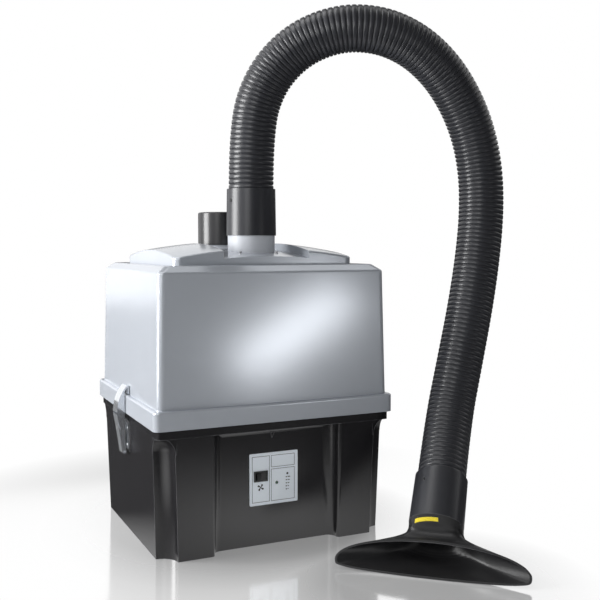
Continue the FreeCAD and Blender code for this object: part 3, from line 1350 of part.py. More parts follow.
def make_exhaust_grille():
    plate = wall_box(
        duct_mid_x, GRILLE_WIDTH / 2, grille_pad_y, grille_face_y, duct_mid_z, GRILLE_HEIGHT / 2
    )
    corners = [edge for edge in plate.Edges if abs(edge.tangentAt(edge.FirstParameter).y) > 0.9]
    plate = plate.makeFillet(GRILLE_MARGIN / 2, corners)
    pitch = (GRILLE_HEIGHT - 2 * GRILLE_MARGIN) / GRILLE_SLOTS
    slot_half = GRILLE_WIDTH / 2 - GRILLE_MARGIN
    slots = []
    for index in range(GRILLE_SLOTS):
        z = duct_mid_z - GRILLE_HEIGHT / 2 + GRILLE_MARGIN + pitch * (index + 0.5)
        half = pitch * GRILLE_SLOT_SHARE / 2
        slots.append(wall_box(duct_mid_x, slot_half, grille_pad_y - 1, grille_face_y + 1, z, half))
    return plate.cut(slots + [screw_hole(spot, INWARD * -1) for spot in grille_screw_spots])


def make_mains_inlet():
    flange = wall_box(
        INLET_X, INLET_FLANGE_WIDTH / 2, inlet_pad_y, inlet_face_y, INLET_Z, INLET_FLANGE_HEIGHT / 2
    )
    corners = [edge for edge in flange.Edges if abs(edge.tangentAt(edge.FirstParameter).y) > 0.9]
    flange = flange.makeFillet(INLET_CHAMFER * 0.8, corners)
    body = wall_box(
        INLET_X, INLET_BODY_WIDTH / 2, inlet_pad_y - INLET_BODY_DEPTH, inlet_pad_y,
        INLET_Z, INLET_BODY_HEIGHT / 2,
    )
    half_x = INLET_BODY_WIDTH / 2 - INLET_SHELL
    half_z = INLET_BODY_HEIGHT / 2 - INLET_SHELL
    cut_x = half_x - INLET_CHAMFER
    cut_z = half_z - INLET_CHAMFER
    outline = [
        (-half_x, -half_z), (half_x, -half_z), (half_x, cut_z), (cut_x, half_z), (-cut_x, half_z),
        (-half_x, cut_z),
    ]
    back = inlet_face_y - INLET_SOCKET
    points = [V(INLET_X + x, back, INLET_Z + z) for x, z in outline]
    socket = polygon_prism(points, INWARD * (2 * INLET_SOCKET))
    holes = [screw_hole(spot, INWARD * -1) for spot in inlet_screw_spots]
    return flange.fuse(body).cut([socket] + holes).removeSplitter()


def make_inlet_pins():
    back = inlet_face_y - INLET_SOCKET
    pins = []
    for step in (-1, 0, 1):
        x = INLET_X + step * PIN_SPACING
        z = INLET_Z + (PIN_SPACING / 4 if step == 0 else -PIN_SPACING / 4)
        pins.append(wall_box(x, PIN_WIDTH / 2, back, back + PIN_REACH, z, PIN_HEIGHT / 2))
    return group(pins)


def make_funnel_strip():
    """Short curved strip that follows the funnel's surface just below the cuff."""
    rows = smooth_rows(nozzle_stations(), NOZZLE_STEPS)
    rows = rows[NOZZLE_STEPS // 2:NOZZLE_STEPS + 1]
    count = 9
    step_deg = (STRIP_END_DEG - STRIP_START_DEG) / (count - 1)
    angles = [math.radians(STRIP_START_DEG + step_deg * index) for index in range(count)]
    ring_order = ((0, 0), (0, 1), (1, 1), (1, 0))
    skins = []
    for lift in (STRIP_SEAT, STRIP_SEAT + STRIP_THICK):
        skin = []
        for row in rows:
            points = section_points((row[0], row[1]), (row[2], row[3]), row[4], row[5], -lift, angles)
            curve = Part.BSplineCurve()
            curve.interpolate(Points=points, Parameters=[float(index) for index in range(count)])
            skin.append(curve.toShape())
        skins.append(skin)
    faces = []
    for skin in skins:
        faces += [Part.makeRuledSurface(near, far) for near, far in zip(skin, skin[1:])]
    for under, over in ((skins[0][0], skins[1][0]), (skins[0][-1], skins[1][-1])):
        faces.append(Part.makeRuledSurface(under, over))
    for index in range(len(rows) - 1):
        for end in (0, -1):
            corners = [skins[layer][index + step].Vertexes[end].Point for layer, step in ring_order]
            near = Part.LineSegment(corners[0], corners[1]).toShape()
            far = Part.LineSegment(corners[3], corners[2]).toShape()
            faces.append(Part.makeRuledSurface(near, far))
    shell = Part.makeShell(faces)
    shell.sewShape()
    return Part.makeSolid(shell)


# Build and write every node

save("base_shell", make_base_shell())
save("control_plate", make_control_plate())
save("switch_frame", make_switch_frame())
save("rocker", make_rocker())
save("lamp_lens", make_lamp_lens())
save("control_board", make_board())
save("board_components", make_board_components())
save("board_screws", make_board_screws())
save("deck_plate", make_deck_plate())
save("deck_screws", group([screw(spot + UP * DECK_THICK, UP * -1) for spot in boss_spots]))
save("turbine_mounts", group([
    Part.makeCylinder(MOUNT_R, MOUNT_HEIGHT, spot + UP * (BASE_FLOOR + POST_HEIGHT)) for spot in mount_spots
]))
save("carrier_plate", make_carrier_plate())
save("volute_shell", make_volute_shell())
save("volute_lid", make_volute_lid())
save("inlet_seal", ring(INLET_R + INLET_SEAL_WALL, INLET_R, WALL_TOP_Z - lid_top_z, V(0, 0, lid_top_z)))
save("motor", make_motor())
save("motor_screws", group([screw(spot, UP * -1, motor_screw_length) for spot in motor_screw_spots]))
save("motor_shaft", make_shaft())
save("shaft_nut", make_shaft_nut())
save("impeller", make_impeller())
save("filter_seal", frame_ring(
    filter_x, filter_y, filter_x - FILTER_LIP, filter_y - FILTER_LIP, DECK_TOP_Z, filter_z
))
save("filter_frame", make_filter_frame())
media_x = filter_x - FILTER_SHEET - RUNNING_GAP
media_y = filter_y - FILTER_SHEET - RUNNING_GAP
save("carbon_bed", solid_box(-media_x, media_x, -media_y, media_y, carbon_z, pleat_z))
save("pleated_filter", make_pleats())
save("prefilter_mat", solid_box(-media_x, media_x, -media_y, media_y, mat_z, mat_z + PREFILTER_HEIGHT))
save("mains_inlet", make_mains_inlet())
save("inlet_pins", make_inlet_pins())
save("inlet_screws", group([screw(spot, INWARD * -1) for spot in inlet_screw_spots]))
save("exhaust_grille", make_exhaust_grille())
save("grille_screws", group([screw(spot, INWARD * -1) for spot in grille_screw_spots]))

bracket = make_latch_bracket()
lever = make_lever()
hook = make_hook()
hook_pin = cross_pin(LATCH_PIN_R, hook_pin_out, hook_pin_z, HOOK_INNER + LATCH_SHEET + SCREW_GAP)
pivot_pin = cross_pin(LATCH_PIN_R, pivot_out, pivot_z, LEVER_INNER + LEVER_SHEET + SCREW_GAP)
rivets = make_rivets()
latch_pieces = {"latch_bracket": bracket, "latch_lever": lever, "latch_hook": hook, "hook_pin": hook_pin}
for name, shape in latch_pieces.items():
    save(name + "_right", shape)
    save(name + "_left", mirrored(shape))
save("pivot_pins", group([pivot_pin, mirrored(pivot_pin)]))
save("bracket_rivets", group(rivets + [mirrored(rivet) for rivet in rivets]))

save("hood_shell", make_hood_shell())
save("rim_gasket", make_rim_gasket())
save("front_spigot", make_spigot(SPIGOT_FRONT_Y))
save("rear_spigot", make_spigot(SPIGOT_REAR_Y))
save("spigot_screws", group([screw(spot, UP) for spot in spigot_screw_spots]))
save("spigot_cap", make_spigot_cap())

upper_turn = FreeCAD.Rotation(UP, UPPER_CLICK_TURN_DEG)
upper_places = (upper_cuff_base, upper_turn.multVec(V(1, 0, 0)), UP)
lower_turn = FreeCAD.Rotation(cuff_up, LOWER_CLICK_TURN_DEG)
lower_places = (neck_end, lower_turn.multVec(across), cuff_up)
save("upper_cuff", turned(local_cuff(), *upper_places))
save("lower_cuff", turned(local_cuff(), *lower_places))
save("upper_click_button", turned(local_click_button(), *upper_places))
save("lower_click_button", turned(local_click_button(), *lower_places))
save("hose_sleeves", group([turned(local_sleeve(), *upper_places), turned(local_sleeve(), *lower_places)]))
save("funnel", make_funnel())
save("funnel_strip", make_funnel_strip())

pieces, radii = route_pieces(hose_route)
hose_length = sum(piece_length(piece) for piece in pieces)
hose, rib_count = make_hose(pieces, hose_length)
save("hose", hose)
print("hose length", round(hose_length, 1), "ribs", rib_count, "least radius", round(min(radii), 1))
print("hose radii", [round(radius) for radius in radii])
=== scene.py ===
"""Looks of a bench-top fume extractor: a silver-grey hood on a black tub, with a ribbed suction arm."""
import math

import bmesh
import bpy
from mathutils import Matrix, Vector


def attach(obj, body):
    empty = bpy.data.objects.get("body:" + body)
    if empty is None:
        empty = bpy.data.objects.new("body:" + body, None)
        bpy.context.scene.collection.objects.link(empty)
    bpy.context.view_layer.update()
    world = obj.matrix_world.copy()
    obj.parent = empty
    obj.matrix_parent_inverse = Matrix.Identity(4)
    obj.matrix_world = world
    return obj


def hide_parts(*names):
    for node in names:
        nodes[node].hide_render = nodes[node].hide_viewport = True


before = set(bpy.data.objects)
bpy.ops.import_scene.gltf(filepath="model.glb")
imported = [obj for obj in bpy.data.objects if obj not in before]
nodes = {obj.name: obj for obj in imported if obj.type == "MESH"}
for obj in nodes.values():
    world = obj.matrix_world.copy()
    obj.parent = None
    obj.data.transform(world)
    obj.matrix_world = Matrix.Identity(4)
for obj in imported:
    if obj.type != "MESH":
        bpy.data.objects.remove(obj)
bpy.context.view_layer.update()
MM = 0.001
WHITE = (1.0, 1.0, 1.0, 1.0)


# Node helpers

# Socket numbers of a colour mix node.
MIX_FIRST = 6
MIX_SECOND = 7
MIX_RESULT = 2


def set_or_link(tree, socket, value):
    """Put a constant on a socket, or link another node's output to it."""
    if isinstance(value, (int, float, tuple)):
        socket.default_value = value
    else:
        tree.links.new(value, socket)


def math_node(tree, operation, a, b, clamp=False):
    node = tree.nodes.new("ShaderNodeMath")
    node.operation = operation
    node.use_clamp = clamp
    set_or_link(tree, node.inputs[0], a)
    set_or_link(tree, node.inputs[1], b)
    return node.outputs[0]


def mix_colour(tree, share, first, second):
    node = tree.nodes.new("ShaderNodeMix")
    node.data_type = "RGBA"
    set_or_link(tree, node.inputs["Factor"], share)
    set_or_link(tree, node.inputs[MIX_FIRST], first)
    set_or_link(tree, node.inputs[MIX_SECOND], second)
    return node.outputs[MIX_RESULT]


def mix_shaders(tree, share, first, second):
    node = tree.nodes.new("ShaderNodeMixShader")
    for socket, value in zip(node.inputs, (share, first, second)):
        tree.links.new(value, socket)
    return node.outputs[0]


def ramp(tree, value, fade, ends):
    """The first end at the first distance of the fade, the second end at its second distance."""
    node = tree.nodes.new("ShaderNodeMapRange")
    for label, number in zip(("From Min", "From Max", "To Min", "To Max"), (*fade, *ends)):
        node.inputs[label].default_value = number
    tree.links.new(value, node.inputs["Value"])
    return node.outputs["Result"]


def empty_material(name):
    """A new material that holds nothing but its output node."""
    material = bpy.data.materials.new(name)
    material.use_nodes = True
    tree = material.node_tree
    tree.nodes.clear()
    out = tree.nodes.new("ShaderNodeOutputMaterial")
    return material, tree, out.inputs["Surface"]


# Camera and world

LENS = 52.96
SENSOR = 36.0
CAMERA_PLACE = (-0.4893, -1.2712, 0.4252)
CAMERA_TILT_DEG = 86.37
CAMERA_TURN_DEG = -25.1
WORLD_FILL = 0.20
WORLD_FILL_TONE = (0.96, 0.98, 1.0, 1.0)
WHITE_STRENGTH = 1.0


def make_camera():
    data = bpy.data.cameras.new("photo_camera")
    data.lens = LENS
    data.sensor_width = SENSOR
    camera = bpy.data.objects.new("photo_camera", data)
    camera.location = CAMERA_PLACE
    camera.rotation_euler = (math.radians(CAMERA_TILT_DEG), 0, math.radians(CAMERA_TURN_DEG))
    bpy.context.scene.collection.objects.link(camera)
    bpy.context.scene.camera = camera


def seen_rays(tree):
    """Share of rays that show the white background: camera, glossy and transmission rays."""
    path = tree.nodes.new("ShaderNodeLightPath")
    direct = math_node(tree, "MAXIMUM", path.outputs["Is Camera Ray"], path.outputs["Is Glossy Ray"])
    return math_node(tree, "MAXIMUM", direct, path.outputs["Is Transmission Ray"])


def background(tree, tone, strength):
    node = tree.nodes.new("ShaderNodeBackground")
    node.inputs["Color"].default_value = tone
    node.inputs["Strength"].default_value = strength
    return node.outputs[0]


def make_world():
    world = bpy.data.worlds.new("studio")
    bpy.context.scene.world = world
    world.use_nodes = True
    tree = world.node_tree
    tree.nodes.clear()
    out = tree.nodes.new("ShaderNodeOutputWorld")
    fill = background(tree, WORLD_FILL_TONE, WORLD_FILL)
    white = background(tree, WHITE, WHITE_STRENGTH)
    tree.links.new(mix_shaders(tree, seen_rays(tree), fill, white), out.inputs["Surface"])


# Floor, flags and lights

FLOOR_HALF = 6.0
FLOOR_TONE = (0.93, 0.93, 0.93, 1.0)
FLOOR_GLOSS_ROUGH = 0.10
# The tub and the nozzle on the floor: middle and reach, in metres.
STANDS_ON_FLOOR = [((0.0, 0.0, 0.0), 0.20), ((0.1235, -0.3495, 0.0), 0.12)]
# The floor's polish and its share of plain white, over distances beyond that reach.
POLISH_FADE = (0.0, 0.36)
POLISH = (0.55, 0.0)
WHITE_FADE = (0.0, 0.10)
WHITE_SHARE = (0.45, 1.0)
# Light patches of the mirrored floor: one before the tub, one seen by the hollow corner flutes.
TUB_FRONT = (0.04, -0.26, 0.0)
TUB_FRONT_FADE = (0.05, 0.42)
TUB_FRONT_GLOW = (1.6, 0.07)
FLUTE_SIDE = (-0.50, -0.30, 0.0)
FLUTE_SIDE_FADE = (0.08, 0.26)
FLUTE_SIDE_GLOW = (2.2, 0.0)
FLAG_TONE = (0.07, 0.07, 0.07, 1.0)
FLAGS = {
    "front_flag": [(-2.4, -3.2, 0.0), (5.5, -3.2, 0.0), (5.5, -3.2, 3.6), (-2.4, -3.2, 3.6)],
    "right_flag": [(4.2, -3.2, 0.0), (4.2, 3.6, 0.0), (4.2, 3.6, 1.3), (4.2, -3.2, 1.3)],
    "back_flag": [(-0.6, 3.6, 0.0), (4.2, 3.6, 0.0), (4.2, 3.6, 0.9), (-0.6, 3.6, 0.9)],
    "ceiling_flag_front": [(-1.4, -3.2, 3.6), (4.2, -3.2, 3.6), (4.2, 0.35, 3.6), (-1.4, 0.35, 3.6)],
    "ceiling_flag_back": [(-1.4, 1.1, 3.6), (4.2, 1.1, 3.6), (4.2, 3.6, 3.6), (-1.4, 3.6, 3.6)],
}
# Each softbox: place, aim, width and height in metres, power in watts, roll in degrees.
SOFTBOXES = {
    "left_softbox": ((-1.95, 0.40, 0.72), (0, 0, 0.36), 1.0, 1.36, 60, 0),
    "top_softbox": ((-0.5, 0.4, 2.3), (0, 0, 0.2), 1.2, 1.2, 10, 0),
    "fill_softbox": ((-1.3, -1.7, 1.0), (0, 0, 0.3), 0.9, 0.9, 7, 0),
    "edge_softbox": ((0.8, -0.13, 2.0), (0, -0.13, 0.43), 0.6, 0.6, 1.2, 0),
    "front_softbox": ((0.82, -1.9, 0.19), (0.05, -0.157, 0.30), 0.46, 0.12, 1.25, 35),
}


def plane(name, corners):
    mesh = bpy.data.meshes.new(name)
    mesh.from_pydata([Vector(c) for c in corners], [], [(0, 1, 2, 3)])
    piece = bpy.data.objects.new(name, mesh)
    bpy.context.scene.collection.objects.link(piece)
    return piece


def make_floor():
    """A pale floor: polished near the part, white further off, with light patches for reflections."""
    floor = plane("floor", [(-FLOOR_HALF, -FLOOR_HALF, 0), (FLOOR_HALF, -FLOOR_HALF, 0),
                            (FLOOR_HALF, FLOOR_HALF, 0), (-FLOOR_HALF, FLOOR_HALF, 0)])
    material, tree, surface = empty_material("pale_floor")
    lit = tree.nodes.new("ShaderNodeBsdfDiffuse")
    lit.inputs["Color"].default_value = FLOOR_TONE
    white = tree.nodes.new("ShaderNodeEmission")
    mirrored = tree.nodes.new("ShaderNodeEmission")
    gloss = tree.nodes.new("ShaderNodeBsdfGlossy")
    gloss.inputs["Color"].default_value = WHITE
    gloss.inputs["Roughness"].default_value = FLOOR_GLOSS_ROUGH
    place = tree.nodes.new("ShaderNodeNewGeometry")

    def distance_to(spot):
        node = tree.nodes.new("ShaderNodeVectorMath")
        node.operation = "DISTANCE"
        node.inputs[1].default_value = spot
        tree.links.new(place.outputs["Position"], node.inputs[0])
        return node.outputs["Value"]

    beyond = [math_node(tree, "SUBTRACT", distance_to(spot), reach) for spot, reach in STANDS_ON_FLOOR]
    away = math_node(tree, "MINIMUM", *beyond)
    path = tree.nodes.new("ShaderNodeLightPath")
    pale = mix_shaders(tree, ramp(tree, away, WHITE_FADE, WHITE_SHARE), lit.outputs[0], white.outputs[0])
    seen = mix_shaders(tree, ramp(tree, away, POLISH_FADE, POLISH), pale, gloss.outputs[0])
    ahead = ramp(tree, distance_to(TUB_FRONT), TUB_FRONT_FADE, TUB_FRONT_GLOW)
    beside = ramp(tree, distance_to(FLUTE_SIDE), FLUTE_SIDE_FADE, FLUTE_SIDE_GLOW)
    tree.links.new(math_node(tree, "MAXIMUM", ahead, beside), mirrored.inputs["Strength"])
    camera_or_lit = mix_shaders(tree, path.outputs["Is Camera Ray"], lit.outputs[0], seen)
    glossy = mix_shaders(tree, path.outputs["Is Glossy Ray"], camera_or_lit, mirrored.outputs[0])
    clear = mix_shaders(tree, path.outputs["Is Transmission Ray"], glossy, white.outputs[0])
    tree.links.new(clear, surface)
    floor.data.materials.append(material)


def make_flag(name, corners):
    """A dark studio flag: only reflections see it."""
    flag = plane(name, corners)
    material, tree, surface = empty_material(name)
    glow = tree.nodes.new("ShaderNodeEmission")
    glow.inputs["Color"].default_value = FLAG_TONE
    tree.links.new(glow.outputs[0], surface)
    flag.data.materials.append(material)
    flag.visible_camera = False
    flag.visible_diffuse = False
    flag.visible_shadow = False
    flag.visible_transmission = False


def make_softbox(name, place, aim, width, height, power, roll):
    data = bpy.data.lights.new(name, "AREA")
    data.shape = "RECTANGLE"
    data.size = width
    data.size_y = height
    data.energy = power
    lamp = bpy.data.objects.new(name, data)
    lamp.location = place
    toward = Vector(aim) - Vector(place)
    turn = toward.to_track_quat("-Z", "Y").to_matrix().to_4x4()
    spin = Matrix.Rotation(math.radians(roll), 4, "Z")
    lamp.rotation_euler = (turn @ spin).to_euler()
    lamp.visible_camera = False
    bpy.context.scene.collection.objects.link(lamp)


make_camera()
make_world()
make_floor()
for flag_name, flag_corners in FLAGS.items():
    make_flag(flag_name, flag_corners)
for softbox_name, softbox_values in SOFTBOXES.items():
    make_softbox(softbox_name, *softbox_values)
bpy.context.scene.view_settings.view_transform = "Standard"


# Shader node groups shared by the finishes

FLOAT = "NodeSocketFloat"
COLOUR = "NodeSocketColor"
NOISE_MIDDLE = 0.5
# Noises as (scale, detail).
SLOW_NOISE = (9.0, 3.0)
WEAR_AND_HIGHLIGHT_NOISE = (60.0, 4.0)
DUST_NOISE = (34.0, 5.0)
SMUDGE_NOISE = (42.0, 4.0)
GRAIN_DETAIL = 1.5
LINE_DETAIL = 3.0
FIBRE_DETAIL = 4.0
# Scales along x, y and z that turn a noise into lines.
LINE_STRETCH = (1.0, 6.0, 0.12)
FIBRE_STRETCHES = [(1.0, 0.15, 1.0), (0.15, 1.0, 1.0)]
SLOW_SHARE = 0.6
LINE_SHARE = 0.5
BEVEL_SAMPLES = 4
WEAR_AND_HIGHLIGHT_GAIN = 5.0
WEAR_AND_HIGHLIGHT_PATCHINESS = 1.6
DUST_FROM = 0.35
DUST_GAIN = 1.5


def group_tree(name, inputs, outputs):
    tree = bpy.data.node_groups.new(name, "ShaderNodeTree")
    for label, kind, value in inputs:
        socket = tree.interface.new_socket(label, in_out="INPUT", socket_type=kind)
        if value is not None:
            socket.default_value = value
    for label, kind in outputs:
        tree.interface.new_socket(label, in_out="OUTPUT", socket_type=kind)
    source = tree.nodes.new("NodeGroupInput")
    sink = tree.nodes.new("NodeGroupOutput")
    return tree, source, sink


def noise_node(tree, scale, detail, stretch=None):
    coords = tree.nodes.new("ShaderNodeTexCoord")
    noise = tree.nodes.new("ShaderNodeTexNoise")
    noise.inputs["Detail"].default_value = detail
    vector = coords.outputs["Object"]
    if stretch is not None:
        mapping = tree.nodes.new("ShaderNodeMapping")
        mapping.inputs["Scale"].default_value = stretch
        tree.links.new(vector, mapping.inputs["Vector"])
        vector = mapping.outputs["Vector"]
    tree.links.new(vector, noise.inputs["Vector"])
    set_or_link(tree, noise.inputs["Scale"], scale)
    return noise.outputs["Fac"]


def centred(tree, noise, amount):
    """A noise moved to lie around zero, times an amount."""
    return math_node(tree, "MULTIPLY", math_node(tree, "SUBTRACT", noise, NOISE_MIDDLE), amount)


def weighted(tree, first, second, first_share):
    """Two values added by their shares of one."""
    one = math_node(tree, "MULTIPLY", first, first_share)
    two = math_node(tree, "MULTIPLY", second, 1.0 - first_share)
    return math_node(tree, "ADD", one, two)


def moulded_group():
    """Moulded plastic: fine spark grain, slow colour drift and roughness drift."""
    tree, source, sink = group_tree(
        "moulded_grain",
        [("Colour", COLOUR, None), ("Drift", FLOAT, 0.1), ("Grain Scale", FLOAT, 900.0),
         ("Roughness", FLOAT, 0.4), ("Spread", FLOAT, 0.08)],
        [("Colour", COLOUR), ("Roughness", FLOAT), ("Height", FLOAT)])
    slow = noise_node(tree, *SLOW_NOISE)
    grain = noise_node(tree, source.outputs["Grain Scale"], GRAIN_DETAIL)
    lift = math_node(tree, "ADD", 1.0, centred(tree, slow, source.outputs["Drift"]))
    scaled = tree.nodes.new("ShaderNodeVectorMath")
    scaled.operation = "SCALE"
    tree.links.new(source.outputs["Colour"], scaled.inputs[0])
    tree.links.new(lift, scaled.inputs["Scale"])
    tree.links.new(scaled.outputs[0], sink.inputs["Colour"])
    drift = centred(tree, weighted(tree, slow, grain, SLOW_SHARE), source.outputs["Spread"])
    tree.links.new(math_node(tree, "ADD", source.outputs["Roughness"], drift, True), sink.inputs["Roughness"])
    tree.links.new(grain, sink.inputs["Height"])
    return tree


def wear_and_highlight_edges_group():
    """Edge tint, partly rubbed wear and partly a painted edge highlight: where the rounded normal leaves the
    face's normal, broken up by noise.
    """
    tree, source, sink = group_tree(
        "wear_and_highlight_edges", [("Reach", FLOAT, 0.0015), ("Amount", FLOAT, 1.0)], [("Mask", FLOAT)])
    bevel = tree.nodes.new("ShaderNodeBevel")
    bevel.samples = BEVEL_SAMPLES
    tree.links.new(source.outputs["Reach"], bevel.inputs["Radius"])
    face = tree.nodes.new("ShaderNodeNewGeometry")
    dot = tree.nodes.new("ShaderNodeVectorMath")
    dot.operation = "DOT_PRODUCT"
    tree.links.new(bevel.outputs["Normal"], dot.inputs[0])
    tree.links.new(face.outputs["Normal"], dot.inputs[1])
    away = math_node(tree, "SUBTRACT", 1.0, dot.outputs["Value"], True)
    patchy = math_node(tree, "MULTIPLY", noise_node(tree, *WEAR_AND_HIGHLIGHT_NOISE), WEAR_AND_HIGHLIGHT_PATCHINESS)
    worn_and_highlit = math_node(tree, "MULTIPLY", math_node(tree, "MULTIPLY", away, WEAR_AND_HIGHLIGHT_GAIN, True), patchy)
    tree.links.new(math_node(tree, "MULTIPLY", worn_and_highlit, source.outputs["Amount"], True), sink.inputs["Mask"])
    return tree


def dust_group():
    """Thin dust on faces that look up."""
    tree, source, sink = group_tree("dust_film", [("Amount", FLOAT, 0.2)], [("Mask", FLOAT)])
    coords = tree.nodes.new("ShaderNodeTexCoord")
    parts = tree.nodes.new("ShaderNodeSeparateXYZ")
    tree.links.new(coords.outputs["Normal"], parts.inputs[0])
    rise = math_node(tree, "SUBTRACT", parts.outputs["Z"], DUST_FROM)
    upward = math_node(tree, "MULTIPLY", rise, DUST_GAIN, True)
    laid = math_node(tree, "MULTIPLY", upward, noise_node(tree, *DUST_NOISE))
    tree.links.new(math_node(tree, "MULTIPLY", laid, source.outputs["Amount"], True), sink.inputs["Mask"])
    return tree


def brushed_group():
    """Plated or brushed metal: fine lines one way, with smudges over them."""
    tree, source, sink = group_tree(
        "brushed_metal",
        [("Roughness", FLOAT, 0.25), ("Spread", FLOAT, 0.15), ("Line Scale", FLOAT, 400.0)],
        [("Roughness", FLOAT), ("Height", FLOAT), ("Smudge", FLOAT)])
    lines = noise_node(tree, source.outputs["Line Scale"], LINE_DETAIL, LINE_STRETCH)
    smudge = noise_node(tree, *SMUDGE_NOISE)
    drift = centred(tree, weighted(tree, lines, smudge, LINE_SHARE), source.outputs["Spread"])
    tree.links.new(math_node(tree, "ADD", source.outputs["Roughness"], drift, True), sink.inputs["Roughness"])
    tree.links.new(lines, sink.inputs["Height"])
    tree.links.new(smudge, sink.inputs["Smudge"])
    return tree


def fibre_group():
    """Felted or paper fibres: tangled fine lines of two tones."""
    tree, source, sink = group_tree(
        "fibre_felt", [("Colour", COLOUR, None), ("Shadow", COLOUR, None), ("Scale", FLOAT, 500.0)],
        [("Colour", COLOUR), ("Height", FLOAT)])
    lines = [noise_node(tree, source.outputs["Scale"], FIBRE_DETAIL, stretch) for stretch in FIBRE_STRETCHES]
    tangle = math_node(tree, "MAXIMUM", *lines)
    tone = mix_colour(tree, tangle, source.outputs["Shadow"], source.outputs["Colour"])
    tree.links.new(tone, sink.inputs["Colour"])
    tree.links.new(tangle, sink.inputs["Height"])
    return tree


MOULDED = moulded_group()
WEAR_AND_HIGHLIGHT_EDGES = wear_and_highlight_edges_group()
DUST = dust_group()
BRUSHED = brushed_group()
FIBRE = fibre_group()


# Finishes

FIBRE_ROUGH = 0.95
PELLET_SCALE = 330.0
PELLET_GAP_SHADE_GAIN = 1.4
PELLET_DEPTH = 0.0012
PELLET_ROUGH = 0.62
PELLET_TONE = (0.045, 0.045, 0.048, 1.0)
# Painted shade in the gaps between pellets.
PELLET_GAP_SHADE_TONE = (0.008, 0.008, 0.009, 1.0)
BOARD_RUN_SCALE = 160.0
BOARD_RUN_WIDTH = 0.012
BOARD_RUN_DEPTH = 0.00004
BOARD_ROUGH = 0.3
BOARD_TONES = {
    "Color1": (0.012, 0.11, 0.045, 1.0),
    "Color2": (0.010, 0.085, 0.036, 1.0),
    "Mortar": (0.05, 0.22, 0.09, 1.0),
}


def start_finish(name):
    material = bpy.data.materials.new(name)
    material.use_nodes = True
    tree = material.node_tree
    return material, tree, tree.nodes["Principled BSDF"]


def place_group(tree, group, **values):
    node = tree.nodes.new("ShaderNodeGroup")
    node.node_tree = group
    for label, value in values.items():
        node.inputs[label.replace("_", " ")].default_value = value
    return node


def bump(tree, shader, height, distance):
    node = tree.nodes.new("ShaderNodeBump")
    node.inputs["Distance"].default_value = distance
    node.inputs["Strength"].default_value = 1.0
    tree.links.new(height, node.inputs["Height"])
    tree.links.new(node.outputs["Normal"], shader.inputs["Normal"])


def moulded_finish(name, colour, rough, spread, grain, drift,
                   edge_wear_and_highlight=None, dust=None, metallic=0.0, specular=0.5, coat=0.0):
    """Moulded or sprayed plastic.

    grain is (scale, depth in metres); the edge entry is (reach in metres, amount, colour) of an edge tint,
    partly rubbed wear and partly a painted edge highlight; dust is (amount, colour).
    """
    material, tree, shader = start_finish(name)
    grain_scale, grain_depth = grain
    body = place_group(tree, MOULDED, Colour=(*colour, 1), Drift=drift, Grain_Scale=grain_scale,
                       Roughness=rough, Spread=spread)
    tone = body.outputs["Colour"]
    # Edge tint: partly rubbed wear, partly a painted edge highlight.
    if edge_wear_and_highlight is not None:
        reach, amount, edge_wear_and_highlight_colour = edge_wear_and_highlight
        edge = place_group(tree, WEAR_AND_HIGHLIGHT_EDGES, Reach=reach, Amount=amount)
        tone = mix_colour(tree, edge.outputs["Mask"], tone, (*edge_wear_and_highlight_colour, 1))
    if dust is not None:
        dust_amount, dust_colour = dust
        film = place_group(tree, DUST, Amount=dust_amount)
        tone = mix_colour(tree, film.outputs["Mask"], tone, (*dust_colour, 1))
    tree.links.new(tone, shader.inputs["Base Color"])
    tree.links.new(body.outputs["Roughness"], shader.inputs["Roughness"])
    shader.inputs["Metallic"].default_value = metallic
    shader.inputs["Specular IOR Level"].default_value = specular
    shader.inputs["Coat Weight"].default_value = coat
    bump(tree, shader, body.outputs["Height"], grain_depth)
    return material


def metal_finish(name, colour, smudge, rough, spread, lines, metallic=1.0):
    """Brushed or plated metal; smudge is a second colour, lines is (scale, depth in metres)."""
    material, tree, shader = start_finish(name)
    line_scale, line_depth = lines
    brushed = place_group(tree, BRUSHED, Roughness=rough, Spread=spread, Line_Scale=line_scale)
    tone = mix_colour(tree, brushed.outputs["Smudge"], (*colour, 1), (*smudge, 1))
    tree.links.new(tone, shader.inputs["Base Color"])
    tree.links.new(brushed.outputs["Roughness"], shader.inputs["Roughness"])
    shader.inputs["Metallic"].default_value = metallic
    bump(tree, shader, brushed.outputs["Height"], line_depth)
    return material


def fibre_finish(name, colour, shadow, scale, depth):
    material, tree, shader = start_finish(name)
    felt = place_group(tree, FIBRE, Colour=(*colour, 1), Shadow=(*shadow, 1), Scale=scale)
    tree.links.new(felt.outputs["Colour"], shader.inputs["Base Color"])
    shader.inputs["Roughness"].default_value = FIBRE_ROUGH
    bump(tree, shader, felt.outputs["Height"], depth)
    return material


def carbon_finish():
    """Packed carbon pellets: cells for the grains, with painted shade darkening the gaps between them."""
    material, tree, shader = start_finish("carbon_grain")
    coords = tree.nodes.new("ShaderNodeTexCoord")
    cells = tree.nodes.new("ShaderNodeTexVoronoi")
    cells.inputs["Scale"].default_value = PELLET_SCALE
    tree.links.new(coords.outputs["Object"], cells.inputs["Vector"])
    far = math_node(tree, "MULTIPLY", cells.outputs["Distance"], PELLET_GAP_SHADE_GAIN, True)
    tone = mix_colour(tree, far, PELLET_TONE, PELLET_GAP_SHADE_TONE)
    tree.links.new(tone, shader.inputs["Base Color"])
    shader.inputs["Roughness"].default_value = PELLET_ROUGH
    bump(tree, shader, math_node(tree, "SUBTRACT", 1.0, far), PELLET_DEPTH)
    return material


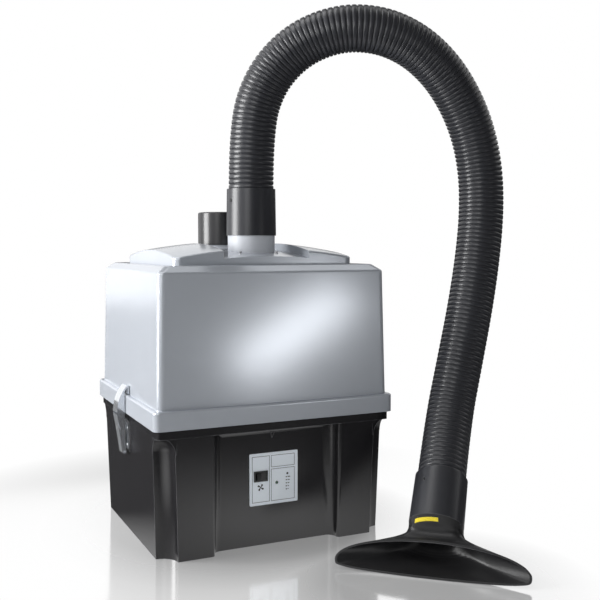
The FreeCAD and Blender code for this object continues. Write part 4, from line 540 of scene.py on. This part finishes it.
def board_finish():
    """Green circuit board: copper runs under the lacquer."""
    material, tree, shader = start_finish("board_lacquer")
    coords = tree.nodes.new("ShaderNodeTexCoord")
    bricks = tree.nodes.new("ShaderNodeTexBrick")
    bricks.inputs["Scale"].default_value = BOARD_RUN_SCALE
    bricks.inputs["Mortar Size"].default_value = BOARD_RUN_WIDTH
    for label, tone in BOARD_TONES.items():
        bricks.inputs[label].default_value = tone
    tree.links.new(coords.outputs["Object"], bricks.inputs["Vector"])
    tree.links.new(bricks.outputs["Color"], shader.inputs["Base Color"])
    shader.inputs["Roughness"].default_value = BOARD_ROUGH
    bump(tree, shader, bricks.outputs["Fac"], BOARD_RUN_DEPTH)
    return material


# Edge colour for dark plastics: partly rubbed wear, partly a painted edge highlight.
GREY_WEAR_AND_HIGHLIGHT = (0.20, 0.20, 0.21)
DUST_TONE = (0.42, 0.41, 0.40)
# The edge entries below tint the edges: partly rubbed wear, partly a painted edge highlight.
PLASTICS = {
    "hood_grey": dict(
        colour=(0.54, 0.57, 0.62), rough=0.165, spread=0.04, grain=(1400.0, 0.00002), drift=0.05,
        edge_wear_and_highlight=(0.0015, 0.35, (0.68, 0.71, 0.76)), metallic=0.3),
    "spigot_grey": dict(
        colour=(0.56, 0.58, 0.62), rough=0.42, spread=0.06, grain=(1400.0, 0.00002), drift=0.05),
    "tub_black": dict(
        colour=(0.011, 0.0105, 0.012), rough=0.22, spread=0.08, grain=(1100.0, 0.00003), drift=0.3,
        edge_wear_and_highlight=(0.0015, 1.0, GREY_WEAR_AND_HIGHLIGHT), dust=(0.10, DUST_TONE)),
    "gloss_black": dict(
        colour=(0.012, 0.012, 0.013), rough=0.15, spread=0.08, grain=(700.0, 0.00001), drift=0.2,
        edge_wear_and_highlight=(0.0008, 0.25, GREY_WEAR_AND_HIGHLIGHT)),
    "matte_black": dict(
        colour=(0.013, 0.013, 0.014), rough=0.34, spread=0.10, grain=(1000.0, 0.00003), drift=0.3,
        edge_wear_and_highlight=(0.001, 0.4, GREY_WEAR_AND_HIGHLIGHT), dust=(0.03, DUST_TONE), specular=0.3),
    "cap_black": dict(
        colour=(0.026, 0.026, 0.028), rough=0.24, spread=0.08, grain=(900.0, 0.00002), drift=0.2,
        edge_wear_and_highlight=(0.0008, 0.25, GREY_WEAR_AND_HIGHLIGHT)),
    "hose_charcoal": dict(
        colour=(0.028, 0.029, 0.034), rough=0.30, spread=0.12, grain=(900.0, 0.00003), drift=0.35,
        edge_wear_and_highlight=(0.0006, 0.35, GREY_WEAR_AND_HIGHLIGHT), dust=(0.10, DUST_TONE)),
    "plate_silver": dict(
        colour=(0.88, 0.94, 1.0), rough=0.30, spread=0.08, grain=(1500.0, 0.00001), drift=0.06,
        edge_wear_and_highlight=(0.0006, 0.5, (0.8, 0.82, 0.86))),
    "lens_green": dict(
        colour=(0.008, 0.055, 0.028), rough=0.10, spread=0.05, grain=(600.0, 0.00001), drift=0.2, coat=1.0),
    "strip_yellow": dict(
        colour=(0.86, 0.68, 0.03), rough=0.42, spread=0.12, grain=(800.0, 0.00002), drift=0.12,
        edge_wear_and_highlight=(0.0004, 0.4, (0.95, 0.85, 0.3))),
    "seal_rubber": dict(
        colour=(0.02, 0.02, 0.02), rough=0.75, spread=0.12, grain=(600.0, 0.00006), drift=0.3),
    "turbine_plastic": dict(
        colour=(0.10, 0.10, 0.11), rough=0.45, spread=0.12, grain=(900.0, 0.00003), drift=0.2,
        edge_wear_and_highlight=(0.001, 0.4, (0.25, 0.25, 0.26))),
}
METALS = {
    "latch_steel": dict(
        colour=(0.86, 0.88, 0.91), smudge=(0.66, 0.69, 0.73), rough=0.12, spread=0.10,
        lines=(300.0, 0.00001), metallic=0.8),
    "screw_steel": dict(
        colour=(0.58, 0.58, 0.60), smudge=(0.44, 0.44, 0.46), rough=0.32, spread=0.16,
        lines=(500.0, 0.00001)),
    "motor_metal": dict(
        colour=(0.52, 0.52, 0.54), smudge=(0.38, 0.38, 0.40), rough=0.42, spread=0.2,
        lines=(220.0, 0.00003)),
    "sheet_metal": dict(
        colour=(0.55, 0.56, 0.58), smudge=(0.42, 0.43, 0.45), rough=0.38, spread=0.18,
        lines=(160.0, 0.00002)),
    "contact_brass": dict(
        colour=(0.78, 0.62, 0.28), smudge=(0.60, 0.46, 0.20), rough=0.28, spread=0.15,
        lines=(400.0, 0.00001)),
}
FIBRES = {
    "filter_white": dict(colour=(0.84, 0.84, 0.80), shadow=(0.60, 0.60, 0.57), scale=700.0, depth=0.0002),
    "filter_mat": dict(colour=(0.80, 0.82, 0.84), shadow=(0.45, 0.47, 0.50), scale=320.0, depth=0.0008),
}
FINISH = {"filter_carbon": carbon_finish(), "board_green": board_finish()}
for make_finish, looks in ((moulded_finish, PLASTICS), (metal_finish, METALS), (fibre_finish, FIBRES)):
    for look_name, look in looks.items():
        FINISH[look_name] = make_finish(look_name, **look)
DRESSED = {
    "tub_black": ["base_shell"],
    "hood_grey": ["hood_shell"],
    "spigot_grey": ["front_spigot", "rear_spigot"],
    "gloss_black": ["switch_frame", "rocker", "upper_click_button", "lower_click_button"],
    "cap_black": ["spigot_cap"],
    "matte_black": ["board_components", "mains_inlet", "exhaust_grille", "funnel"],
    "hose_charcoal": ["upper_cuff", "lower_cuff", "hose_sleeves", "hose"],
    "plate_silver": ["control_plate"],
    "latch_steel": ["latch_bracket_left", "latch_bracket_right", "latch_lever_left", "latch_lever_right",
                    "latch_hook_left", "latch_hook_right", "hook_pin_left", "hook_pin_right",
                    "pivot_pins", "bracket_rivets"],
    "screw_steel": ["board_screws", "deck_screws", "motor_screws", "motor_shaft", "shaft_nut",
                    "inlet_screws", "grille_screws", "spigot_screws"],
    "lens_green": ["lamp_lens"],
    "strip_yellow": ["funnel_strip"],
    "seal_rubber": ["turbine_mounts", "inlet_seal", "filter_seal", "rim_gasket"],
    "turbine_plastic": ["volute_shell", "volute_lid", "impeller"],
    "motor_metal": ["motor"],
    "sheet_metal": ["deck_plate", "carrier_plate", "filter_frame"],
    "filter_white": ["pleated_filter"],
    "filter_carbon": ["carbon_bed"],
    "filter_mat": ["prefilter_mat"],
    "board_green": ["control_board"],
    "contact_brass": ["inlet_pins"],
}
for dressed_slot, members in DRESSED.items():
    for member in members:
        member_mesh = nodes[member].data
        member_mesh.materials.clear()
        member_mesh.materials.append(FINISH[dressed_slot])


# Making of new pieces

def finish_mesh(mesh, name):
    bmesh.ops.recalc_face_normals(mesh, faces=mesh.faces)
    data = bpy.data.meshes.new(name)
    mesh.to_mesh(data)
    mesh.free()
    return data


def new_piece(name, mesh, slot_name, body, smooth):
    """A piece of one finish that rides on a body."""
    data = finish_mesh(mesh, name)
    piece = bpy.data.objects.new(name, data)
    bpy.context.scene.collection.objects.link(piece)
    data.materials.append(FINISH[slot_name])
    if smooth:
        for face in data.polygons:
            face.use_smooth = True
    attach(piece, body)
    return piece


# Ribbed hose

# Control points of the hose's middle line, in mm.
HOSE_ROUTE = [
    (0, -57, 497.55), (0, -57, 593.55), (17, -67, 661), (52, -97, 709), (100, -132, 732), (152, -157, 732),
    (204, -168, 715), (250, -172, 683), (286, -173, 640), (311, -174, 590), (323.5, -176, 533),
    (323, -180, 472), (312, -187, 408), (292, -198, 335), (263, -212, 250), (233.37, -228.33, 171.80),
    (188.42, -277.90, 97.49),
]
ROUTE_ORDER = 3
ROUTE_STEPS = 24
RIB_COUNT = 158
RING_POINTS = 64
BORE_RADIUS = 29.8
# One rib as (share of the pitch, radius in mm): groove floor, ramp, crowned crest, ramp.
RIB_PROFILE = [(0.0, 31.3), (0.10, 31.3), (0.16, 32.35), (0.22, 32.75), (0.38, 32.98), (0.55, 33.0),
               (0.72, 32.98), (0.88, 32.75), (0.94, 32.35)]


def route_points():
    """Points along the hose's smooth spline, in metres."""
    curve = bpy.data.curves.new("hose_route", "CURVE")
    curve.dimensions = "3D"
    curve.resolution_u = ROUTE_STEPS
    spline = curve.splines.new("NURBS")
    spline.points.add(len(HOSE_ROUTE) - 1)
    for point, place in zip(spline.points, HOSE_ROUTE):
        point.co = (*(v * MM for v in place), 1)
    spline.order_u = ROUTE_ORDER
    spline.use_endpoint_u = True
    carrier = bpy.data.objects.new("hose_route", curve)
    mesh = bpy.data.meshes.new_from_object(carrier)
    points = [v.co.copy() for v in mesh.vertices]
    bpy.data.objects.remove(carrier)
    bpy.data.curves.remove(curve)
    bpy.data.meshes.remove(mesh)
    return points


def along(points):
    """Running length at each point of a line."""
    run = [0.0]
    for a, b in zip(points, points[1:]):
        run.append(run[-1] + (b - a).length)
    return run


def carried_frames(points):
    """Tangent and a side vector at each point, the side carried along without twist."""
    last = len(points) - 1
    frames = []
    side = Vector((1, 0, 0))
    for i in range(len(points)):
        tangent = (points[min(i + 1, last)] - points[max(i - 1, 0)]).normalized()
        side = (side - tangent * side.dot(tangent)).normalized()
        frames.append((tangent, side.copy()))
    return frames


def at_length(points, run, frames, length):
    """Place, tangent and side at a running length of the line."""
    i = 0
    while i < len(run) - 2 and run[i + 1] < length:
        i += 1
    share = (length - run[i]) / (run[i + 1] - run[i])
    place = points[i].lerp(points[i + 1], share)
    tangent = frames[i][0].lerp(frames[i + 1][0], share).normalized()
    side = frames[i][1].lerp(frames[i + 1][1], share)
    side = (side - tangent * side.dot(tangent)).normalized()
    return place, tangent, side


def ring(mesh, place, tangent, side, radius):
    other = tangent.cross(side)
    made = []
    for k in range(RING_POINTS):
        turn = 2 * math.pi * k / RING_POINTS
        made.append(mesh.verts.new(place + (side * math.cos(turn) + other * math.sin(turn)) * radius))
    return made


def join_rings(mesh, first, second):
    for k in range(RING_POINTS):
        n = (k + 1) % RING_POINTS
        mesh.faces.new((first[k], first[n], second[n], second[k]))


def make_hose():
    """A closed shell: ribs along the outside, a plain bore back along the inside."""
    points = route_points()
    run = along(points)
    frames = carried_frames(points)
    total = run[-1]
    pitch = total / RIB_COUNT
    stations = [((rib + share) * pitch, radius) for rib in range(RIB_COUNT) for share, radius in RIB_PROFILE]
    stations.append((total, RIB_PROFILE[0][1]))
    stations += [(total - total * step / RIB_COUNT, BORE_RADIUS) for step in range(RIB_COUNT + 1)]
    mesh = bmesh.new()
    rings = []
    for length, radius in stations:
        place, tangent, side = at_length(points, run, frames, length)
        rings.append(ring(mesh, place, tangent, side, radius * MM))
    for first, second in zip(rings, rings[1:] + rings[:1]):
        join_rings(mesh, first, second)
    hose = new_piece("ribbed_hose", mesh, "hose_charcoal", "arm", smooth=True)
    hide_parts("hose")


# Thin marks on the control plate and in the recess, in mm; depths are (back, front) along y

PLATE_FACE_Y = -139.5
MARK_SUNK = 0.02
MARK_PROUD = 0.06
PLATE_MARK_DEPTHS = (PLATE_FACE_Y + MARK_SUNK, PLATE_FACE_Y - MARK_PROUD)
DISC_CORNERS = 20
# Framed fields as (left, foot, right, top): two fields, the right one with a head field above it.
PLATE_FIELDS = [(-33.0, 62.0, -6.8, 127.0), (-4.0, 62.0, 31.8, 107.5), (-4.0, 110.5, 31.8, 127.0)]
FIELD_LINE = 0.7
# The fan sign: a hub and four blades, each an outline of (along, across) the blade.
FAN_PLACE = (-20.3, 83.0)
FAN_HUB = 1.1
FAN_BLADE = [(FAN_HUB, -0.5), (4.16, -0.6), (5.2, 0.4), (4.42, 2.6), (FAN_HUB, 0.6)]
FAN_TURNS_DEG = (45, 135, 225, 315)
# The wear scale: a dot, and rows of a short dash with a long one that shrinks from row to row.
SCALE_DOT = (20.9, 99.0)
SCALE_DOT_RADIUS = 1.6
SCALE_TOP = 94.0
SCALE_PITCH = 4.4
SCALE_ROWS = 5
SHORT_DASH = (18.3, 20.7)
LONG_DASH = (21.7, 25.1)
LONG_DASH_SHRINK = 0.6
DASH_WIDTH = 1.3
# The V under the recess's top edge: two strokes as (x at the top, x at the foot).
RECESS_FACE_Y = -138.0
RECESS_MARK_SUNK = 0.3
RECESS_MARK_PROUD = 0.5
RECESS_MARK_DEPTHS = (RECESS_FACE_Y + RECESS_MARK_SUNK, RECESS_FACE_Y - RECESS_MARK_PROUD)
RECESS_MARK_TOP = 165.0
RECESS_MARK_FOOT = 152.0
RECESS_MARK_STROKES = [(-4.6, -3.0), (3.2, -2.2)]
RECESS_MARK_WIDTH = 0.9


def prism(mesh, outline, depths):
    """A flat shape of (x, z) corners, standing between two depths."""
    back, front = ([mesh.verts.new(Vector((x, y, z)) * MM) for x, z in outline] for y in depths)
    mesh.faces.new(back)
    mesh.faces.new(front[::-1])
    for i in range(len(outline)):
        n = (i + 1) % len(outline)
        mesh.faces.new((back[i], front[i], front[n], back[n]))


def stroke(mesh, start, end, width, depths):
    """A straight line of a given width between two (x, z) points."""
    a = Vector(start)
    b = Vector(end)
    across = Vector((-(b - a).y, (b - a).x)).normalized() * width / 2
    prism(mesh, [a + across, a - across, b - across, b + across], depths)


def disc(mesh, centre, radius, depths):
    turns = [2 * math.pi * k / DISC_CORNERS for k in range(DISC_CORNERS)]
    x, z = centre
    prism(mesh, [(x + radius * math.cos(turn), z + radius * math.sin(turn)) for turn in turns], depths)


def make_plate_lines():
    mesh = bmesh.new()
    half = FIELD_LINE / 2
    for left, foot, right, top in PLATE_FIELDS:
        for z in (foot, top):
            stroke(mesh, (left - half, z), (right + half, z), FIELD_LINE, PLATE_MARK_DEPTHS)
        for x in (left, right):
            stroke(mesh, (x, foot + half), (x, top - half), FIELD_LINE, PLATE_MARK_DEPTHS)
    new_piece("plate_lines", mesh, "turbine_plastic", "base", smooth=False)


def make_plate_marks():
    """A fan sign under the rocker, and a wear scale beside the lamp."""
    mesh = bmesh.new()
    centre = Vector(FAN_PLACE)
    for degrees in FAN_TURNS_DEG:
        turn = math.radians(degrees)
        out = Vector((math.cos(turn), math.sin(turn)))
        side = Vector((-out.y, out.x))
        blade = [centre + out * reach + side * across for reach, across in FAN_BLADE]
        prism(mesh, blade, PLATE_MARK_DEPTHS)
    disc(mesh, FAN_PLACE, FAN_HUB, PLATE_MARK_DEPTHS)
    disc(mesh, SCALE_DOT, SCALE_DOT_RADIUS, PLATE_MARK_DEPTHS)
    for row in range(SCALE_ROWS):
        z = SCALE_TOP - row * SCALE_PITCH
        long_start, long_end = LONG_DASH
        for start, end in (SHORT_DASH, (long_start, long_end - row * LONG_DASH_SHRINK)):
            stroke(mesh, (start, z), (end, z), DASH_WIDTH, PLATE_MARK_DEPTHS)
    new_piece("plate_marks", mesh, "seal_rubber", "base", smooth=False)


def make_recess_mark():
    mesh = bmesh.new()
    for top_x, foot_x in RECESS_MARK_STROKES:
        stroke(mesh, (top_x, RECESS_MARK_TOP), (foot_x, RECESS_MARK_FOOT), RECESS_MARK_WIDTH,
               RECESS_MARK_DEPTHS)
    new_piece("recess_mark", mesh, "tub_black", "base", smooth=False)


make_hose()
make_plate_lines()
make_plate_marks()
make_recess_mark()
